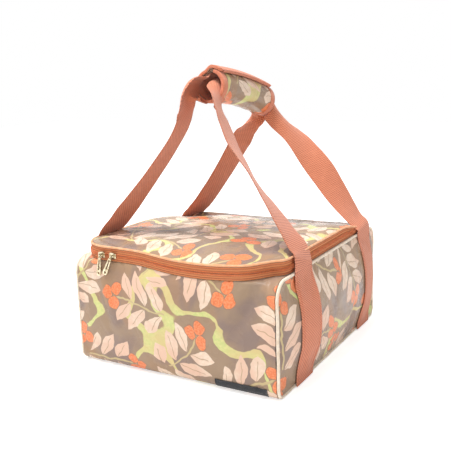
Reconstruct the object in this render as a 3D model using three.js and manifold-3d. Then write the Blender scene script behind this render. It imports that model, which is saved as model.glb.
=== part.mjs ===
// Insulated picnic cooler bag: a square soft box with a zipped lid and a padded two-loop carrying handle.
// Millimetres, +Z up. The front is -Y and the right side is +X.
// The origin is on the floor, under the middle of the box.

import * as THREE from "three";
import { mergeVertices } from "three/addons/utils/BufferGeometryUtils.js";
import Module from "manifold-3d";

const wasm = await Module();
wasm.setup();

// Box
const boxWidth = 300;
const boxDepth = 340;
const boxHeight = 146;
const bottomRadius = 12;
const shoulderRadius = 22;
const mouthCornerRadius = 48;
const sideBulge = 15;
const bulgeRoundness = 0.8;
const frontBulge = 8;

// Layers of the walls
const clearance = 0.3;
const cloth = 1.2;
const foamThickness = 6;
const foamFollow = 0.8;
const linerSkin = 1;
const linerFloorRadius = 14;
const linerBend = 111;
const boardThickness = 2.5;
const boardInset = 1;
const bindingHeight = 7;
const lipRun = 0.4;

// Piping
const pipingRadius = 2;
const lidPipingRadius = 1.5;

// Zip
const tapeThickness = 0.8;
const tapeWidth = 7.6;
const coilHeight = 2;
const coilDepth = 1.7;
const coilGap = 1.2;
const zipEndInset = 26;
const tapeEndInset = 7.5;
const zipStopLength = 6;

// Lid
const lidCrown = 8;
const lidFoamThickness = 5;
const lidLiningThickness = 0.8;
const lidRearDrop = 13;
const lidDropLength = 40;
const lidFoamShare = 0.955;
const lidRearRadius = 12;

// Sliders and pulls
const sliderLength = 11;
const sliderHeight = 8.4;
const sliderPlate = 1.2;
const sliderTaper = 0.7;
const sliderCorner = 1.5;
const sliderGap = 0.8;
const sliderPost = 0.6;
const sliderPostLength = 2.5;
const bailRod = 1.2;
const bailReach = 2.5;
const bailSpan = 7.2;
const frontSliderX = -84;
const leftSliderTurn = 3;
const pullLength = 25;
const pullWidth = 7.4;
const pullNeckWidth = 4.4;
const pullThickness = 1.6;
const pullHole = 3.2;
const pullEyeRadius = 2.15;
const pullWire = 1.2;
const pullRim = 1.2;
const frontPullLean = 27;
const leftPullLean = 9;

// Webbing
const webWidth = 50;
const webThickness = 1.6;
const strapPlace = { front: -100, rear: 117 };
const strapSeat = 0.7;

// Grip
const gripHeight = 352;
const gripShift = 20;
const gripTilt = 10;
const gripLength = 148;
const webRun = 152;
const webCurl = 170;
const frontLeg = { kneeRise: 13, bowLean: 26, bowRise: 42, reach: 28 };
const rearLeg = { kneeRise: 6, bowLean: 34, bowRise: 34, reach: 26 };
const kneeLean = 0.8;
const kneeReach = 9;
const elbowDrop = 40;
const elbowSpread = 4;
const elbowRun = 26;
const rightLoopTwist = 25;
const strapFoot = 1;
const padThickness = 3.5;
const flapThickness = 2.4;
const closureTape = 0.6;
const gripBinding = 0.8;
const gripBindingWidth = 7;

// Label tab
const tabWidth = 76;
const tabHeight = 12;
const tabThickness = 0.8;
const tabCentreX = 98;
const tabBottom = 3;

// Derived places shared by several pieces
const halfWidth = boxWidth / 2;
const halfDepth = boxDepth / 2;
const panelHalfWidth = halfWidth - pipingRadius - clearance;
const lip = cloth + 2 * clearance + lipRun;
const mouthHalfWidth = panelHalfWidth;
const mouthFront = -halfDepth + lip;
const mouthRear = halfDepth - shoulderRadius - clearance - lipRun;
const zipBottom = boxHeight + clearance;
const zipLine = zipBottom + tapeWidth + coilGap / 2;
const lidTapeFoot = zipLine + coilGap / 2;
const lidTapeTop = lidTapeFoot + tapeWidth;
const lidEdgeHeight = lidTapeTop + clearance + lidPipingRadius + cloth / 2;
const zipEnd = mouthRear - zipEndInset;
const tapeEnd = mouthRear - tapeEndInset;
const dropStart = mouthRear - lidDropLength;
const foamOuterX = halfWidth - cloth / 2 - clearance;
const foamInnerX = foamOuterX - foamThickness;
const foamOuterY = halfDepth - cloth - clearance;
const foamInnerY = foamOuterY - foamThickness;
const foamTop = boxHeight - bindingHeight - clearance;
const bindingWidth = foamThickness - clearance;
const linerInset = bindingWidth + clearance;
const foamBaseTop = cloth + clearance + foamThickness;
const boardBottom = foamBaseTop + clearance;
const linerBottom = boardBottom + boardThickness + clearance;
const strapHingeX = halfWidth + pipingRadius + clearance + webThickness;
const cornerSteps = 6;
const curlAngle = THREE.MathUtils.degToRad(webCurl);
const curlRadius = webWidth / curlAngle;
const padInner = curlRadius + webThickness / 2 + clearance;
const padOuter = padInner + padThickness;
const gripCentre = new THREE.Vector3(0, gripShift, gripHeight);
const gripAxis = new THREE.Vector3(0, 1, 0).applyAxisAngle(
  new THREE.Vector3(1, 0, 0),
  -THREE.MathUtils.degToRad(gripTilt),
);

const bag = new THREE.Group();

const finishes = {
  print: { color: 0xa08c7d, roughness: 0.85, metalness: 0 },
  cream: { color: 0xf5e6d2, roughness: 0.7, metalness: 0 },
  webbing: { color: 0xd78269, roughness: 0.8, metalness: 0 },
  zip: { color: 0xf09664, roughness: 0.7, metalness: 0 },
  foam: { color: 0xf2f2ee, roughness: 0.95, metalness: 0 },
  liner: { color: 0xd9dcdd, roughness: 0.35, metalness: 0 },
  board: { color: 0x8f8f8a, roughness: 0.6, metalness: 0 },
  metal: { color: 0xa99a7c, roughness: 0.35, metalness: 1 },
  tab: { color: 0x1b1b1d, roughness: 0.7, metalness: 0 },
};

function add(name, geometry, finish, parent = bag) {
  const mesh = new THREE.Mesh(geometry, new THREE.MeshStandardMaterial(finishes[finish]));
  mesh.name = name;
  parent.add(mesh);
  return mesh;
}

// Mesh helpers

function closedGeometry(points, triangles) {
  let volume = 0;
  for (const [a, b, c] of triangles) {
    volume += points[a].dot(new THREE.Vector3().crossVectors(points[b], points[c]));
  }
  const faces = volume < 0 ? triangles.map(([a, b, c]) => [a, c, b]) : triangles;
  const geometry = new THREE.BufferGeometry();
  geometry.setAttribute(
    "position",
    new THREE.Float32BufferAttribute(points.flatMap((p) => [p.x, p.y, p.z]), 3),
  );
  geometry.setIndex(faces.flat());
  geometry.computeVertexNormals();
  return geometry;
}

// Two facing grids of points, joined round their four edges.
function gridSolid(rows, columns, outer, inner) {
  const points = [];
  for (const face of [outer, inner]) {
    for (let i = 0; i < rows; i++) {
      for (let j = 0; j < columns; j++) {
        points.push(face(i, j));
      }
    }
  }
  const at = (side, i, j) => side * rows * columns + i * columns + j;
  const triangles = [];
  const quad = (a, b, c, d) => triangles.push([a, b, c], [a, c, d]);
  for (let i = 0; i < rows - 1; i++) {
    for (let j = 0; j < columns - 1; j++) {
      quad(at(0, i, j), at(0, i + 1, j), at(0, i + 1, j + 1), at(0, i, j + 1));
      quad(at(1, i, j), at(1, i, j + 1), at(1, i + 1, j + 1), at(1, i + 1, j));
    }
  }
  for (let i = 0; i < rows - 1; i++) {
    quad(at(0, i, 0), at(1, i, 0), at(1, i + 1, 0), at(0, i + 1, 0));
    quad(at(0, i, columns - 1), at(0, i + 1, columns - 1), at(1, i + 1, columns - 1), at(1, i, columns - 1));
  }
  for (let j = 0; j < columns - 1; j++) {
    quad(at(0, 0, j), at(0, 0, j + 1), at(1, 0, j + 1), at(1, 0, j));
    quad(at(0, rows - 1, j), at(1, rows - 1, j), at(1, rows - 1, j + 1), at(0, rows - 1, j + 1));
  }
  return closedGeometry(points, triangles);
}

// Rings of equal length joined one to the next. A looped loft has no ends, an open one is capped.
function loft(rings, looped = false) {
  const count = rings[0].length;
  const points = rings.flat();
  const triangles = [];
  const spans = looped ? rings.length : rings.length - 1;
  for (let i = 0; i < spans; i++) {
    const next = (i + 1) % rings.length;
    for (let j = 0; j < count; j++) {
      const k = (j + 1) % count;
      triangles.push([i * count + j, next * count + j, next * count + k]);
      triangles.push([i * count + j, next * count + k, i * count + k]);
    }
  }
  if (!looped) {
    const last = (rings.length - 1) * count;
    const start = points.push(middle(rings[0])) - 1;
    const end = points.push(middle(rings[rings.length - 1])) - 1;
    for (let j = 0; j < count; j++) {
      const k = (j + 1) % count;
      triangles.push([start, j, k]);
      triangles.push([end, last + k, last + j]);
    }
  }
  return closedGeometry(points, triangles);
}

function middle(ring) {
  const sum = ring.reduce((total, point) => total.add(point), new THREE.Vector3());
  return sum.divideScalar(ring.length);
}

// A curved plate over a flat outline: both faces are rings at growing shares of the way from a centre.
function domedPlate(outline, centre, shares, outerFace, innerFace) {
  const count = outline.length;
  const points = [];
  for (const face of [outerFace, innerFace]) {
    points.push(face(centre.x, centre.y));
    for (const share of shares) {
      points.push(...outline.map((p) => p.clone().lerp(centre, 1 - share)).map((p) => face(p.x, p.y)));
    }
  }
  const hub = (side) => side * (1 + shares.length * count);
  const at = (side, ring, j) => hub(side) + 1 + ring * count + (j % count);
  const rim = shares.length - 1;
  const triangles = [];
  for (let j = 0; j < count; j++) {
    triangles.push([hub(0), at(0, 0, j), at(0, 0, j + 1)], [hub(1), at(1, 0, j + 1), at(1, 0, j)]);
    for (let ring = 0; ring < rim; ring++) {
      triangles.push([at(0, ring, j), at(0, ring + 1, j), at(0, ring + 1, j + 1)]);
      triangles.push([at(0, ring, j), at(0, ring + 1, j + 1), at(0, ring, j + 1)]);
      triangles.push([at(1, ring, j), at(1, ring + 1, j + 1), at(1, ring + 1, j)]);
      triangles.push([at(1, ring, j), at(1, ring, j + 1), at(1, ring + 1, j + 1)]);
    }
    triangles.push([at(0, rim, j), at(1, rim, j), at(1, rim, j + 1)]);
    triangles.push([at(0, rim, j), at(1, rim, j + 1), at(0, rim, j + 1)]);
  }
  return closedGeometry(points, triangles);
}

function arcPoints(centreX, centreY, radius, from, to, steps) {
  return Array.from({ length: steps + 1 }, (_, k) => {
    const angle = from + ((to - from) * k) / steps;
    return new THREE.Vector2(centreX + radius * Math.cos(angle), centreY + radius * Math.sin(angle));
  });
}

// A rounded rectangle, counter-clockwise from the left end of its low edge.
function roundedOutline(sizes, { lowSteps, highSteps, sideSteps, endSteps }) {
  const { half, low, high, lowRadius, highRadius } = sizes;
  const quarter = Math.PI / 2;
  const corners = [
    arcPoints(-half + lowRadius, low + lowRadius, lowRadius, 2 * quarter, 3 * quarter, lowSteps),
    arcPoints(half - lowRadius, low + lowRadius, lowRadius, 3 * quarter, 4 * quarter, lowSteps),
    arcPoints(half - highRadius, high - highRadius, highRadius, 0, quarter, highSteps),
    arcPoints(-half + highRadius, high - highRadius, highRadius, quarter, 2 * quarter, highSteps),
  ];
  const points = [];
  corners.forEach((corner, index) => {
    points.push(...corner);
    const from = corner[corner.length - 1];
    const to = corners[(index + 1) % corners.length][0];
    const steps = index % 2 ? endSteps : sideSteps;
    for (let k = 1; k < steps; k++) {
      points.push(from.clone().lerp(to, k / steps));
    }
  });
  return points;
}

function join(...geometries) {
  const solids = geometries.map(toSolid);
  const joined = solids.reduce((total, solid) => total.add(solid));
  return fromSolid(joined);
}

function cut(geometry, ...tools) {
  const rest = tools.map(toSolid).reduce((left, tool) => left.subtract(tool), toSolid(geometry));
  return fromSolid(rest);
}

function toSolid(geometry) {
  const bare = geometry.clone();
  bare.deleteAttribute("normal");
  bare.deleteAttribute("uv");
  const merged = mergeVertices(bare, 1e-4);
  const vertProperties = new Float32Array(merged.attributes.position.array);
  const triVerts = new Uint32Array(merged.index.array);
  return new wasm.Manifold(new wasm.Mesh({ numProp: 3, vertProperties, triVerts }));
}

function fromSolid(solid) {
  const mesh = solid.getMesh();
  const geometry = new THREE.BufferGeometry();
  geometry.setAttribute("position", new THREE.BufferAttribute(new Float32Array(mesh.vertProperties), 3));
  geometry.setIndex(Array.from(mesh.triVerts));
  geometry.computeVertexNormals();
  return geometry;
}

function smooth(value) {
  const t = Math.min(1, Math.max(0, value));
  return t * t * (3 - 2 * t);
}

// Front, back and base panels: one band of cloth with a profile in YZ at each place across the width

// The front panel's top edge, just outside the mouth and its rounded front corners.
function frontEdgeAt(x) {
  const past = Math.abs(x) - (mouthHalfWidth - mouthCornerRadius);
  if (past <= 0) return mouthFront - clearance;
  return mouthFront + mouthCornerRadius - Math.sqrt((mouthCornerRadius + clearance) ** 2 - past ** 2);
}

function shoulderAt(x) {
  return Math.min(shoulderRadius, frontEdgeAt(x) + halfDepth - lipRun);
}

function wallBulge(x, z, low, high) {
  const across = 1 - (x / halfWidth) ** 2;
  const up = Math.min(1, Math.max(0, (z - low) / (high - low)));
  return frontBulge * across * Math.sin(Math.PI * up);
}

// One wall's profile as outer points with normals. A wall faces -Y when side is -1 and +Y when it is 1.
function wallProfile(x, side) {
  const radius = side < 0 ? shoulderAt(x) : shoulderRadius;
  const edge = side < 0 ? frontEdgeAt(x) : -(mouthRear + clearance);
  const profile = [];
  const place = (y, z, ny, nz) => profile.push({ y, z, ny, nz });
  for (const p of arcPoints(0, 0, 1, -Math.PI / 2, -Math.PI, 4)) {
    place(-halfDepth + bottomRadius + bottomRadius * p.x, bottomRadius + bottomRadius * p.y, p.x, p.y);
  }
  const top = boxHeight - radius;
  const wallSteps = 6;
  for (let k = 1; k < wallSteps; k++) {
    const z = bottomRadius + ((top - bottomRadius) * k) / wallSteps;
    place(-halfDepth - wallBulge(x, z, bottomRadius, top), z, -1, 0);
  }
  for (const p of arcPoints(0, 0, 1, Math.PI, Math.PI / 2, 3)) {
    place(-halfDepth + radius + radius * p.x, top + radius * p.y, p.x, p.y);
  }
  place(edge, boxHeight, 0, 1);
  return profile;
}

function wallStations(steps) {
  const straight = mouthHalfWidth - mouthCornerRadius;
  const corner = [];
  for (let k = 0; k <= steps; k++) {
    corner.push(-straight - mouthCornerRadius * Math.cos((Math.PI / 2) * (k / steps)));
  }
  const middleSteps = 6;
  const level = [];
  for (let k = 1; k < middleSteps; k++) {
    level.push(-straight + (2 * straight * k) / middleSteps);
  }
  return [...corner, ...level, ...corner.toReversed().map((x) => -x)];
}

function wallPanel(side, stations) {
  const profiles = stations.map((x) => wallProfile(x, side));
  const outer = (i, j) => {
    const p = profiles[i][j];
    return new THREE.Vector3(stations[i], -side * p.y, p.z);
  };
  const inner = (i, j) => {
    const p = profiles[i][j];
    return new THREE.Vector3(stations[i], -side * (p.y - cloth * p.ny), p.z - cloth * p.nz);
  };
  return gridSolid(stations.length, profiles[0].length, outer, inner);
}

function basePanel() {
  const half = halfDepth - bottomRadius - clearance;
  return new THREE.BoxGeometry(2 * panelHalfWidth, 2 * half, cloth).translate(0, 0, cloth / 2);
}

// Side panels and their piping

const sidePanelLow = 2 * pipingRadius + 2 * clearance;
const sidePanelHigh = boxHeight - 2 * pipingRadius;
const sidePanelHalf = halfDepth - 2 * pipingRadius;
const sideShares = [0.3, 0.55, 0.78, 1];

function sideOutline(extra) {
  const sizes = {
    half: sidePanelHalf + extra,
    low: sidePanelLow - extra,
    high: sidePanelHigh + extra,
    lowRadius: bottomRadius - 2 * pipingRadius - clearance + extra,
    highRadius: shoulderRadius - 2 * pipingRadius - clearance + extra,
  };
  return roundedOutline(sizes, { lowSteps: 3, highSteps: 4, sideSteps: 7, endSteps: 4 });
}

function bulgeAt(y, z) {
  const along = 1 - (y / sidePanelHalf) ** 2;
  const centre = (sidePanelLow + sidePanelHigh) / 2;
  const up = 1 - ((z - centre) / (sidePanelHigh - centre)) ** 2;
  return sideBulge * (Math.max(0, along) * Math.max(0, up)) ** bulgeRoundness;
}

function sidePanel(side) {
  const centre = new THREE.Vector2(0, boxHeight / 2);
  const face = (depth) => (y, z) => new THREE.Vector3(side * (halfWidth + depth + bulgeAt(y, z)), y, z);
  return domedPlate(sideOutline(0), centre, sideShares, face(cloth / 2), face(-cloth / 2));
}

function sideFoam(side) {
  const outline = sideOutline(0).map((p) => new THREE.Vector2(p.x, Math.min(p.y, foamTop)));
  const centre = new THREE.Vector2(0, boxHeight / 2);
  const face = (x) => (y, z) => new THREE.Vector3(side * (x + foamFollow * bulgeAt(y, z)), y, z);
  return domedPlate(dropRepeats(outline), centre, sideShares, face(foamOuterX), face(foamInnerX));
}

function dropRepeats(outline) {
  return outline.filter((p, k) => p.distanceTo(outline[(k + 1) % outline.length]) > 0.01);
}

// A round cord along a path that lies in one plane, whose normal is given.
function cordAlong(path, radius, looped, planeNormal, sides = 6) {
  const last = path.length - 1;
  const rings = path.map((point, index) => {
    const before = path[index > 0 ? index - 1 : looped ? last : 0];
    const after = path[index < last ? index + 1 : looped ? 0 : last];
    const along = after.clone().sub(before).normalize();
    const across = new THREE.Vector3().crossVectors(along, planeNormal).normalize();
    return Array.from({ length: sides }, (_, k) => {
      const angle = (2 * Math.PI * (k + 0.5)) / sides;
      return point
        .clone()
        .addScaledVector(planeNormal, radius * Math.cos(angle))
        .addScaledVector(across, radius * Math.sin(angle));
    });
  });
  return loft(rings, looped);
}

function sidePiping(side) {
  const path = sideOutline(pipingRadius + clearance);
  const places = path.map((p) => new THREE.Vector3(side * halfWidth, p.x, p.y));
  return cordAlong(places, pipingRadius, true, new THREE.Vector3(1, 0, 0));
}

// Foam of the front, back and base

function wallFoam(side) {
  const half = foamInnerX - clearance;
  const columns = 15;
  const rows = 7;
  const low = bottomRadius + clearance;
  const highAt = (x) => {
    const shoulder = side < 0 ? shoulderAt(x) : shoulderRadius;
    return Math.min(foamTop, boxHeight - shoulder - clearance);
  };
  const point = (i, j, y) => {
    const x = -half + (2 * half * i) / (columns - 1);
    const z = low + ((highAt(x) - low) * j) / (rows - 1);
    const wallTop = boxHeight - (side < 0 ? shoulderAt(x) : shoulderRadius);
    return new THREE.Vector3(x, side * (y + foamFollow * wallBulge(x, z, bottomRadius, wallTop)), z);
  };
  return gridSolid(columns, rows, (i, j) => point(i, j, foamOuterY), (i, j) => point(i, j, foamInnerY));
}

function baseFoam() {
  const half = foamInnerX - clearance;
  const radius = bottomRadius - cloth - clearance;
  const middleY = halfDepth - bottomRadius;
  const low = cloth + clearance;
  const turn = Math.asin((bottomRadius - foamBaseTop) / radius);
  const shape = new THREE.Shape();
  shape.moveTo(-middleY, low);
  shape.absarc(middleY, bottomRadius, radius, -Math.PI / 2, -turn, false);
  shape.absarc(-middleY, bottomRadius, radius, Math.PI + turn, 1.5 * Math.PI, false);
  const settings = { depth: 2 * half, bevelEnabled: false, curveSegments: 6 };
  const geometry = new THREE.ExtrudeGeometry(shape, settings);
  geometry.rotateX(Math.PI / 2);
  geometry.rotateZ(Math.PI / 2);
  return geometry.translate(-half, 0, 0);
}

// Liner, its board and the binding round the mouth

function mouthOutline(inset, rear, cornerRadius, rearRadius) {
  const sizes = {
    half: mouthHalfWidth - inset,
    low: mouthFront + inset,
    high: rear,
    lowRadius: cornerRadius,
    highRadius: rearRadius,
  };
  return roundedOutline(sizes, { lowSteps: cornerSteps, highSteps: 3, sideSteps: 1, endSteps: 2 });
}

function linerTub() {
  const ring = (skin, z, cornerRadius, rear) =>
    mouthOutline(linerInset + skin, rear - skin, cornerRadius - skin, linerFloorRadius - skin).map(
      (p) => new THREE.Vector3(p.x, p.y, z),
    );
  const rearWall = foamInnerY - clearance;
  const rearAtMouth = mouthRear - linerInset;
  const radiusAtMouth = mouthCornerRadius - linerInset;
  const wall = (skin, floor) => [
    ring(skin, floor, linerFloorRadius, rearWall),
    ring(skin, linerBend, linerFloorRadius, rearWall),
    ring(skin, foamTop, radiusAtMouth, rearAtMouth),
    ring(skin, boxHeight, radiusAtMouth, rearAtMouth),
  ];
  return loft([...wall(0, linerBottom), ...wall(linerSkin, linerBottom + linerSkin).reverse()]);
}

function baseBoard() {
  const inset = linerInset + boardInset;
  const rear = foamInnerY - clearance - boardInset;
  const outline = mouthOutline(inset, rear, linerFloorRadius - boardInset, linerFloorRadius - boardInset);
  const ring = (z) => outline.map((p) => new THREE.Vector3(p.x, p.y, z));
  return loft([ring(boardBottom), ring(boardBottom + boardThickness)]);
}

function mouthBinding() {
  const rearRadius = bindingWidth + 2;
  const low = boxHeight - bindingHeight;
  const outer = mouthOutline(0, mouthRear, mouthCornerRadius, rearRadius);
  const inner = mouthOutline(
    bindingWidth,
    mouthRear - bindingWidth,
    mouthCornerRadius - bindingWidth,
    rearRadius - bindingWidth,
  );
  const rings = outer.map((p, k) => [
    new THREE.Vector3(p.x, p.y, low),
    new THREE.Vector3(p.x, p.y, boxHeight),
    new THREE.Vector3(inner[k].x, inner[k].y, boxHeight),
    new THREE.Vector3(inner[k].x, inner[k].y, low),
  ]);
  return loft(rings, true);
}

// Zip: a U-shaped track round the left side, the front and the right side, and down behind its end

function zipTrack(offset, end) {
  const side = mouthHalfWidth + offset;
  const radius = mouthCornerRadius + offset;
  const cornerY = mouthFront + mouthCornerRadius;
  const cornerX = mouthHalfWidth - mouthCornerRadius;
  const run = (from, to, steps) =>
    Array.from({ length: steps }, (_, k) => new THREE.Vector2(-side, from + ((to - from) * k) / steps));
  const dropSteps = 3;
  const levelSteps = 4;
  const leg = [...run(end, dropStart, dropSteps), ...run(dropStart, cornerY, levelSteps)];
  const left = [...leg, ...arcPoints(-cornerX, cornerY, radius, Math.PI, 1.5 * Math.PI, cornerSteps)];
  const right = left.toReversed().map((p) => new THREE.Vector2(-p.x, p.y));
  return [...left, ...right];
}

// How far the lid's edge has come down towards the hinge at a place along the side.
function lidDrop(y) {
  return lidRearDrop * smooth((y - dropStart) / lidDropLength);
}

function zipDip(y) {
  return lidDrop(y) / 2;
}

function zipTape(lowAt, highAt) {
  const outer = zipTrack(0, tapeEnd);
  const inner = zipTrack(-tapeThickness, tapeEnd);
  const point = (track) => (i, j) => {
    const p = track[i];
    return new THREE.Vector3(p.x, p.y, j ? highAt(p.y) : lowAt(p.y));
  };
  return gridSolid(outer.length, 2, point(outer), point(inner));
}

function zipCoil(low) {
  const seat = clearance / 2;
  const near = zipTrack(seat, zipEnd);
  const far = zipTrack(seat + coilDepth, zipEnd);
  const chamfer = coilHeight * 0.25;
  const rings = near.map((p, k) => {
    const foot = low - zipDip(p.y);
    return [
      new THREE.Vector3(p.x, p.y, foot),
      new THREE.Vector3(far[k].x, far[k].y, foot + chamfer),
      new THREE.Vector3(far[k].x, far[k].y, foot + coilHeight - chamfer),
      new THREE.Vector3(p.x, p.y, foot + coilHeight),
    ];
  });
  return loft(rings);
}

function zipStop(side) {
  const x = side * (mouthHalfWidth + (clearance + coilDepth) / 2);
  const rear = zipEnd + clearance + zipStopLength;
  const height = tapeWidth - zipDip(rear);
  const stop = new THREE.BoxGeometry(coilDepth, zipStopLength, height);
  return stop.translate(x, rear - zipStopLength / 2, zipBottom + height / 2);
}

// Lid

const lidRear = mouthRear - tapeThickness - clearance;
const lidShares = [0.25, 0.5, 0.75, lidFoamShare];

function lidSurface(x, y) {
  const middleY = (mouthFront + mouthRear) / 2;
  const across = 1 - Math.min(1, Math.abs(x) / mouthHalfWidth) ** 2.5;
  const along = 1 - Math.min(1, Math.abs(y - middleY) / (mouthRear - middleY)) ** 2.5;
  return lidEdgeHeight - lidDrop(y) + lidCrown * across * along;
}

// The zip's track drawn in, closed round the two rear corners and with points along the front and rear.
function lidOutline(inset) {
  const rearY = lidRear - lidRearRadius;
  const rearX = mouthHalfWidth - inset - lidRearRadius;
  const sides = zipTrack(-inset, rearY);
  const front = sides.length / 2;
  const edgeSteps = 5;
  const across = (y, from, to) =>
    Array.from({ length: edgeSteps - 1 }, (_, k) => {
      return new THREE.Vector2(from + ((to - from) * (k + 1)) / edgeSteps, y);
    });
  const frontX = mouthHalfWidth - mouthCornerRadius;
  return [
    ...sides.slice(0, front),
    ...across(mouthFront + inset, -frontX, frontX),
    ...sides.slice(front, -1),
    ...arcPoints(rearX, rearY, lidRearRadius, 0, Math.PI / 2, 3),
    ...across(lidRear, rearX, -rearX),
    ...arcPoints(-rearX, rearY, lidRearRadius, Math.PI / 2, Math.PI, 3).slice(0, -1),
  ];
}

function lidLayer(shares, depth, thickness) {
  const outline = lidOutline(tapeThickness / 2 + lidPipingRadius + clearance);
  const centre = new THREE.Vector2(0, (mouthFront + mouthRear) / 2);
  const face = (drop) => (x, y) => new THREE.Vector3(x, y, lidSurface(x, y) - drop);
  return domedPlate(outline, centre, shares, face(depth), face(depth + thickness));
}

function lidCover() {
  return lidLayer([...lidShares, 1], 0, cloth);
}

function lidFoam() {
  return lidLayer(lidShares, cloth + clearance, lidFoamThickness);
}

function lidLining() {
  return lidLayer(lidShares, cloth + 2 * clearance + lidFoamThickness, lidLiningThickness);
}

function lidPiping() {
  const path = zipTrack(-tapeThickness / 2, tapeEnd).map(
    (p) => new THREE.Vector3(p.x, p.y, lidTapeTop + clearance + lidPipingRadius - lidDrop(p.y)),
  );
  return cordAlong(path, lidPipingRadius, false, new THREE.Vector3(0, 0, 1));
}

function hingeStrip() {
  const high = lidEdgeHeight - lidRearDrop;
  const width = 2 * (mouthHalfWidth - lidRearRadius);
  const y = mouthRear - tapeThickness / 2;
  const strip = new THREE.BoxGeometry(width, tapeThickness, high - zipBottom);
  return strip.translate(0, y, (high + zipBottom) / 2);
}

// Zip slider, in its own frame: +X along the track, -Y out of the bag, the origin on the tape's outer face

const outerPlateFace = clearance / 2 + coilDepth + sliderGap;
const bailFoot = outerPlateFace + sliderPlate;
const bailAxisDepth = bailFoot + bailReach + bailRod / 2;

// The plate's wide end, where the two coils part, is at +X.
function sliderPlateSolid(outerFace) {
  const wide = sliderHeight / 2;
  const narrow = wide * sliderTaper;
  const half = sliderLength / 2;
  const corners = [
    [-half, -narrow],
    [0, -wide],
    [half - sliderCorner, -wide],
    [half, -wide + sliderCorner],
    [half, wide - sliderCorner],
    [half - sliderCorner, wide],
    [0, wide],
    [-half, narrow],
  ];
  const shape = new THREE.Shape(corners.map(([x, z]) => new THREE.Vector2(x, z)));
  const plate = new THREE.ExtrudeGeometry(shape, { depth: sliderPlate, bevelEnabled: false });
  return plate.rotateX(Math.PI / 2).translate(0, outerFace, 0);
}

// The bail is the small bridge on the outer plate that carries the pull.
function sliderBail() {
  const root = sliderPlate / 2;
  const outer = bailReach + bailRod;
  const half = bailSpan / 2;
  const arch = new THREE.Shape();
  arch.moveTo(-half, root);
  arch.lineTo(-half, -outer + bailRod);
  arch.lineTo(-half + bailRod, -outer);
  arch.lineTo(half - bailRod, -outer);
  arch.lineTo(half, -outer + bailRod);
  arch.lineTo(half, root);
  arch.lineTo(half - bailRod, root);
  arch.lineTo(half - bailRod, -bailReach);
  arch.lineTo(-half + bailRod, -bailReach);
  arch.lineTo(-half + bailRod, root);
  const bail = new THREE.ExtrudeGeometry(arch, { depth: bailRod, bevelEnabled: false });
  return bail.translate(0, -bailFoot, -bailRod / 2);
}

function slider() {
  const insideFace = tapeThickness + sliderGap;
  const postDepth = outerPlateFace + insideFace + sliderPlate;
  const post = new THREE.BoxGeometry(sliderPostLength, postDepth, sliderPost);
  post.translate(sliderLength / 2 - sliderPostLength, (insideFace - outerPlateFace) / 2, 0);
  const plates = [sliderPlateSolid(-outerPlateFace), sliderPlateSolid(insideFace + sliderPlate)];
  return join(...plates, post, sliderBail());
}

// Zip pull, in its own frame: the origin is the middle of its eye, round the bail's rod

function pullOutline() {
  const top = -(pullEyeRadius + pullWire);
  const roundCentre = top - pullLength + pullWidth / 2;
  const shape = new THREE.Shape();
  shape.moveTo(-pullNeckWidth / 2, top);
  shape.lineTo(-pullWidth / 2, roundCentre);
  shape.absarc(0, roundCentre, pullWidth / 2, Math.PI, 2 * Math.PI, false);
  shape.lineTo(pullNeckWidth / 2, top);
  shape.closePath();
  const hole = new THREE.Path();
  hole.absarc(0, roundCentre, pullHole / 2, 0, 2 * Math.PI, true);
  const slotHalf = pullNeckWidth / 2 - pullRim;
  const slotTop = top - 2 * pullRim;
  const slotLow = roundCentre + pullHole / 2 + 2 * pullRim;
  const slot = new THREE.Path();
  slot.moveTo(-slotHalf, slotTop);
  slot.lineTo(slotHalf, slotTop);
  slot.lineTo(slotHalf, slotLow);
  slot.lineTo(-slotHalf, slotLow);
  slot.closePath();
  shape.holes.push(hole, slot);
  return shape;
}

function pull(lean) {
  const eye = new THREE.TorusGeometry(pullEyeRadius, pullWire / 2, 6, 10).rotateY(Math.PI / 2);
  const tab = new THREE.ExtrudeGeometry(pullOutline(), {
    depth: pullThickness,
    bevelEnabled: false,
    curveSegments: 6,
  });
  tab.rotateX(Math.PI / 2).translate(0, pullThickness / 2, 0);
  const neckLength = 1.5 * pullWire;
  const neck = new THREE.BoxGeometry(pullWire, pullWire, neckLength);
  neck.translate(0, 0, -(pullEyeRadius + neckLength / 2));
  return join(eye, tab, neck).rotateY(THREE.MathUtils.degToRad(lean));
}

// Webbing: four sewn straps on the side panels, and one free loop from each side

function strapCentre(end) {
  return end < 0 ? strapPlace.front : strapPlace.rear;
}

function sewnStrap(side, end) {
  const rows = 15;
  const columns = 4;
  const high = boxHeight - clearance / 2;
  const point = (i, j, depth) => {
    const y = strapCentre(end) + webWidth * (j / (columns - 1) - 0.5);
    const z = strapFoot + ((high - strapFoot) * i) / (rows - 1);
    const onPanel = halfWidth + cloth / 2 + strapSeat + bulgeAt(y, z);
    const overPiping = halfWidth + pipingRadius + clearance;
    return new THREE.Vector3(side * (Math.max(onPanel, overPiping) + depth), y, z);
  };
  return gridSolid(rows, columns, (i, j) => point(i, j, webThickness), (i, j) => point(i, j, 0));
}

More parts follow.
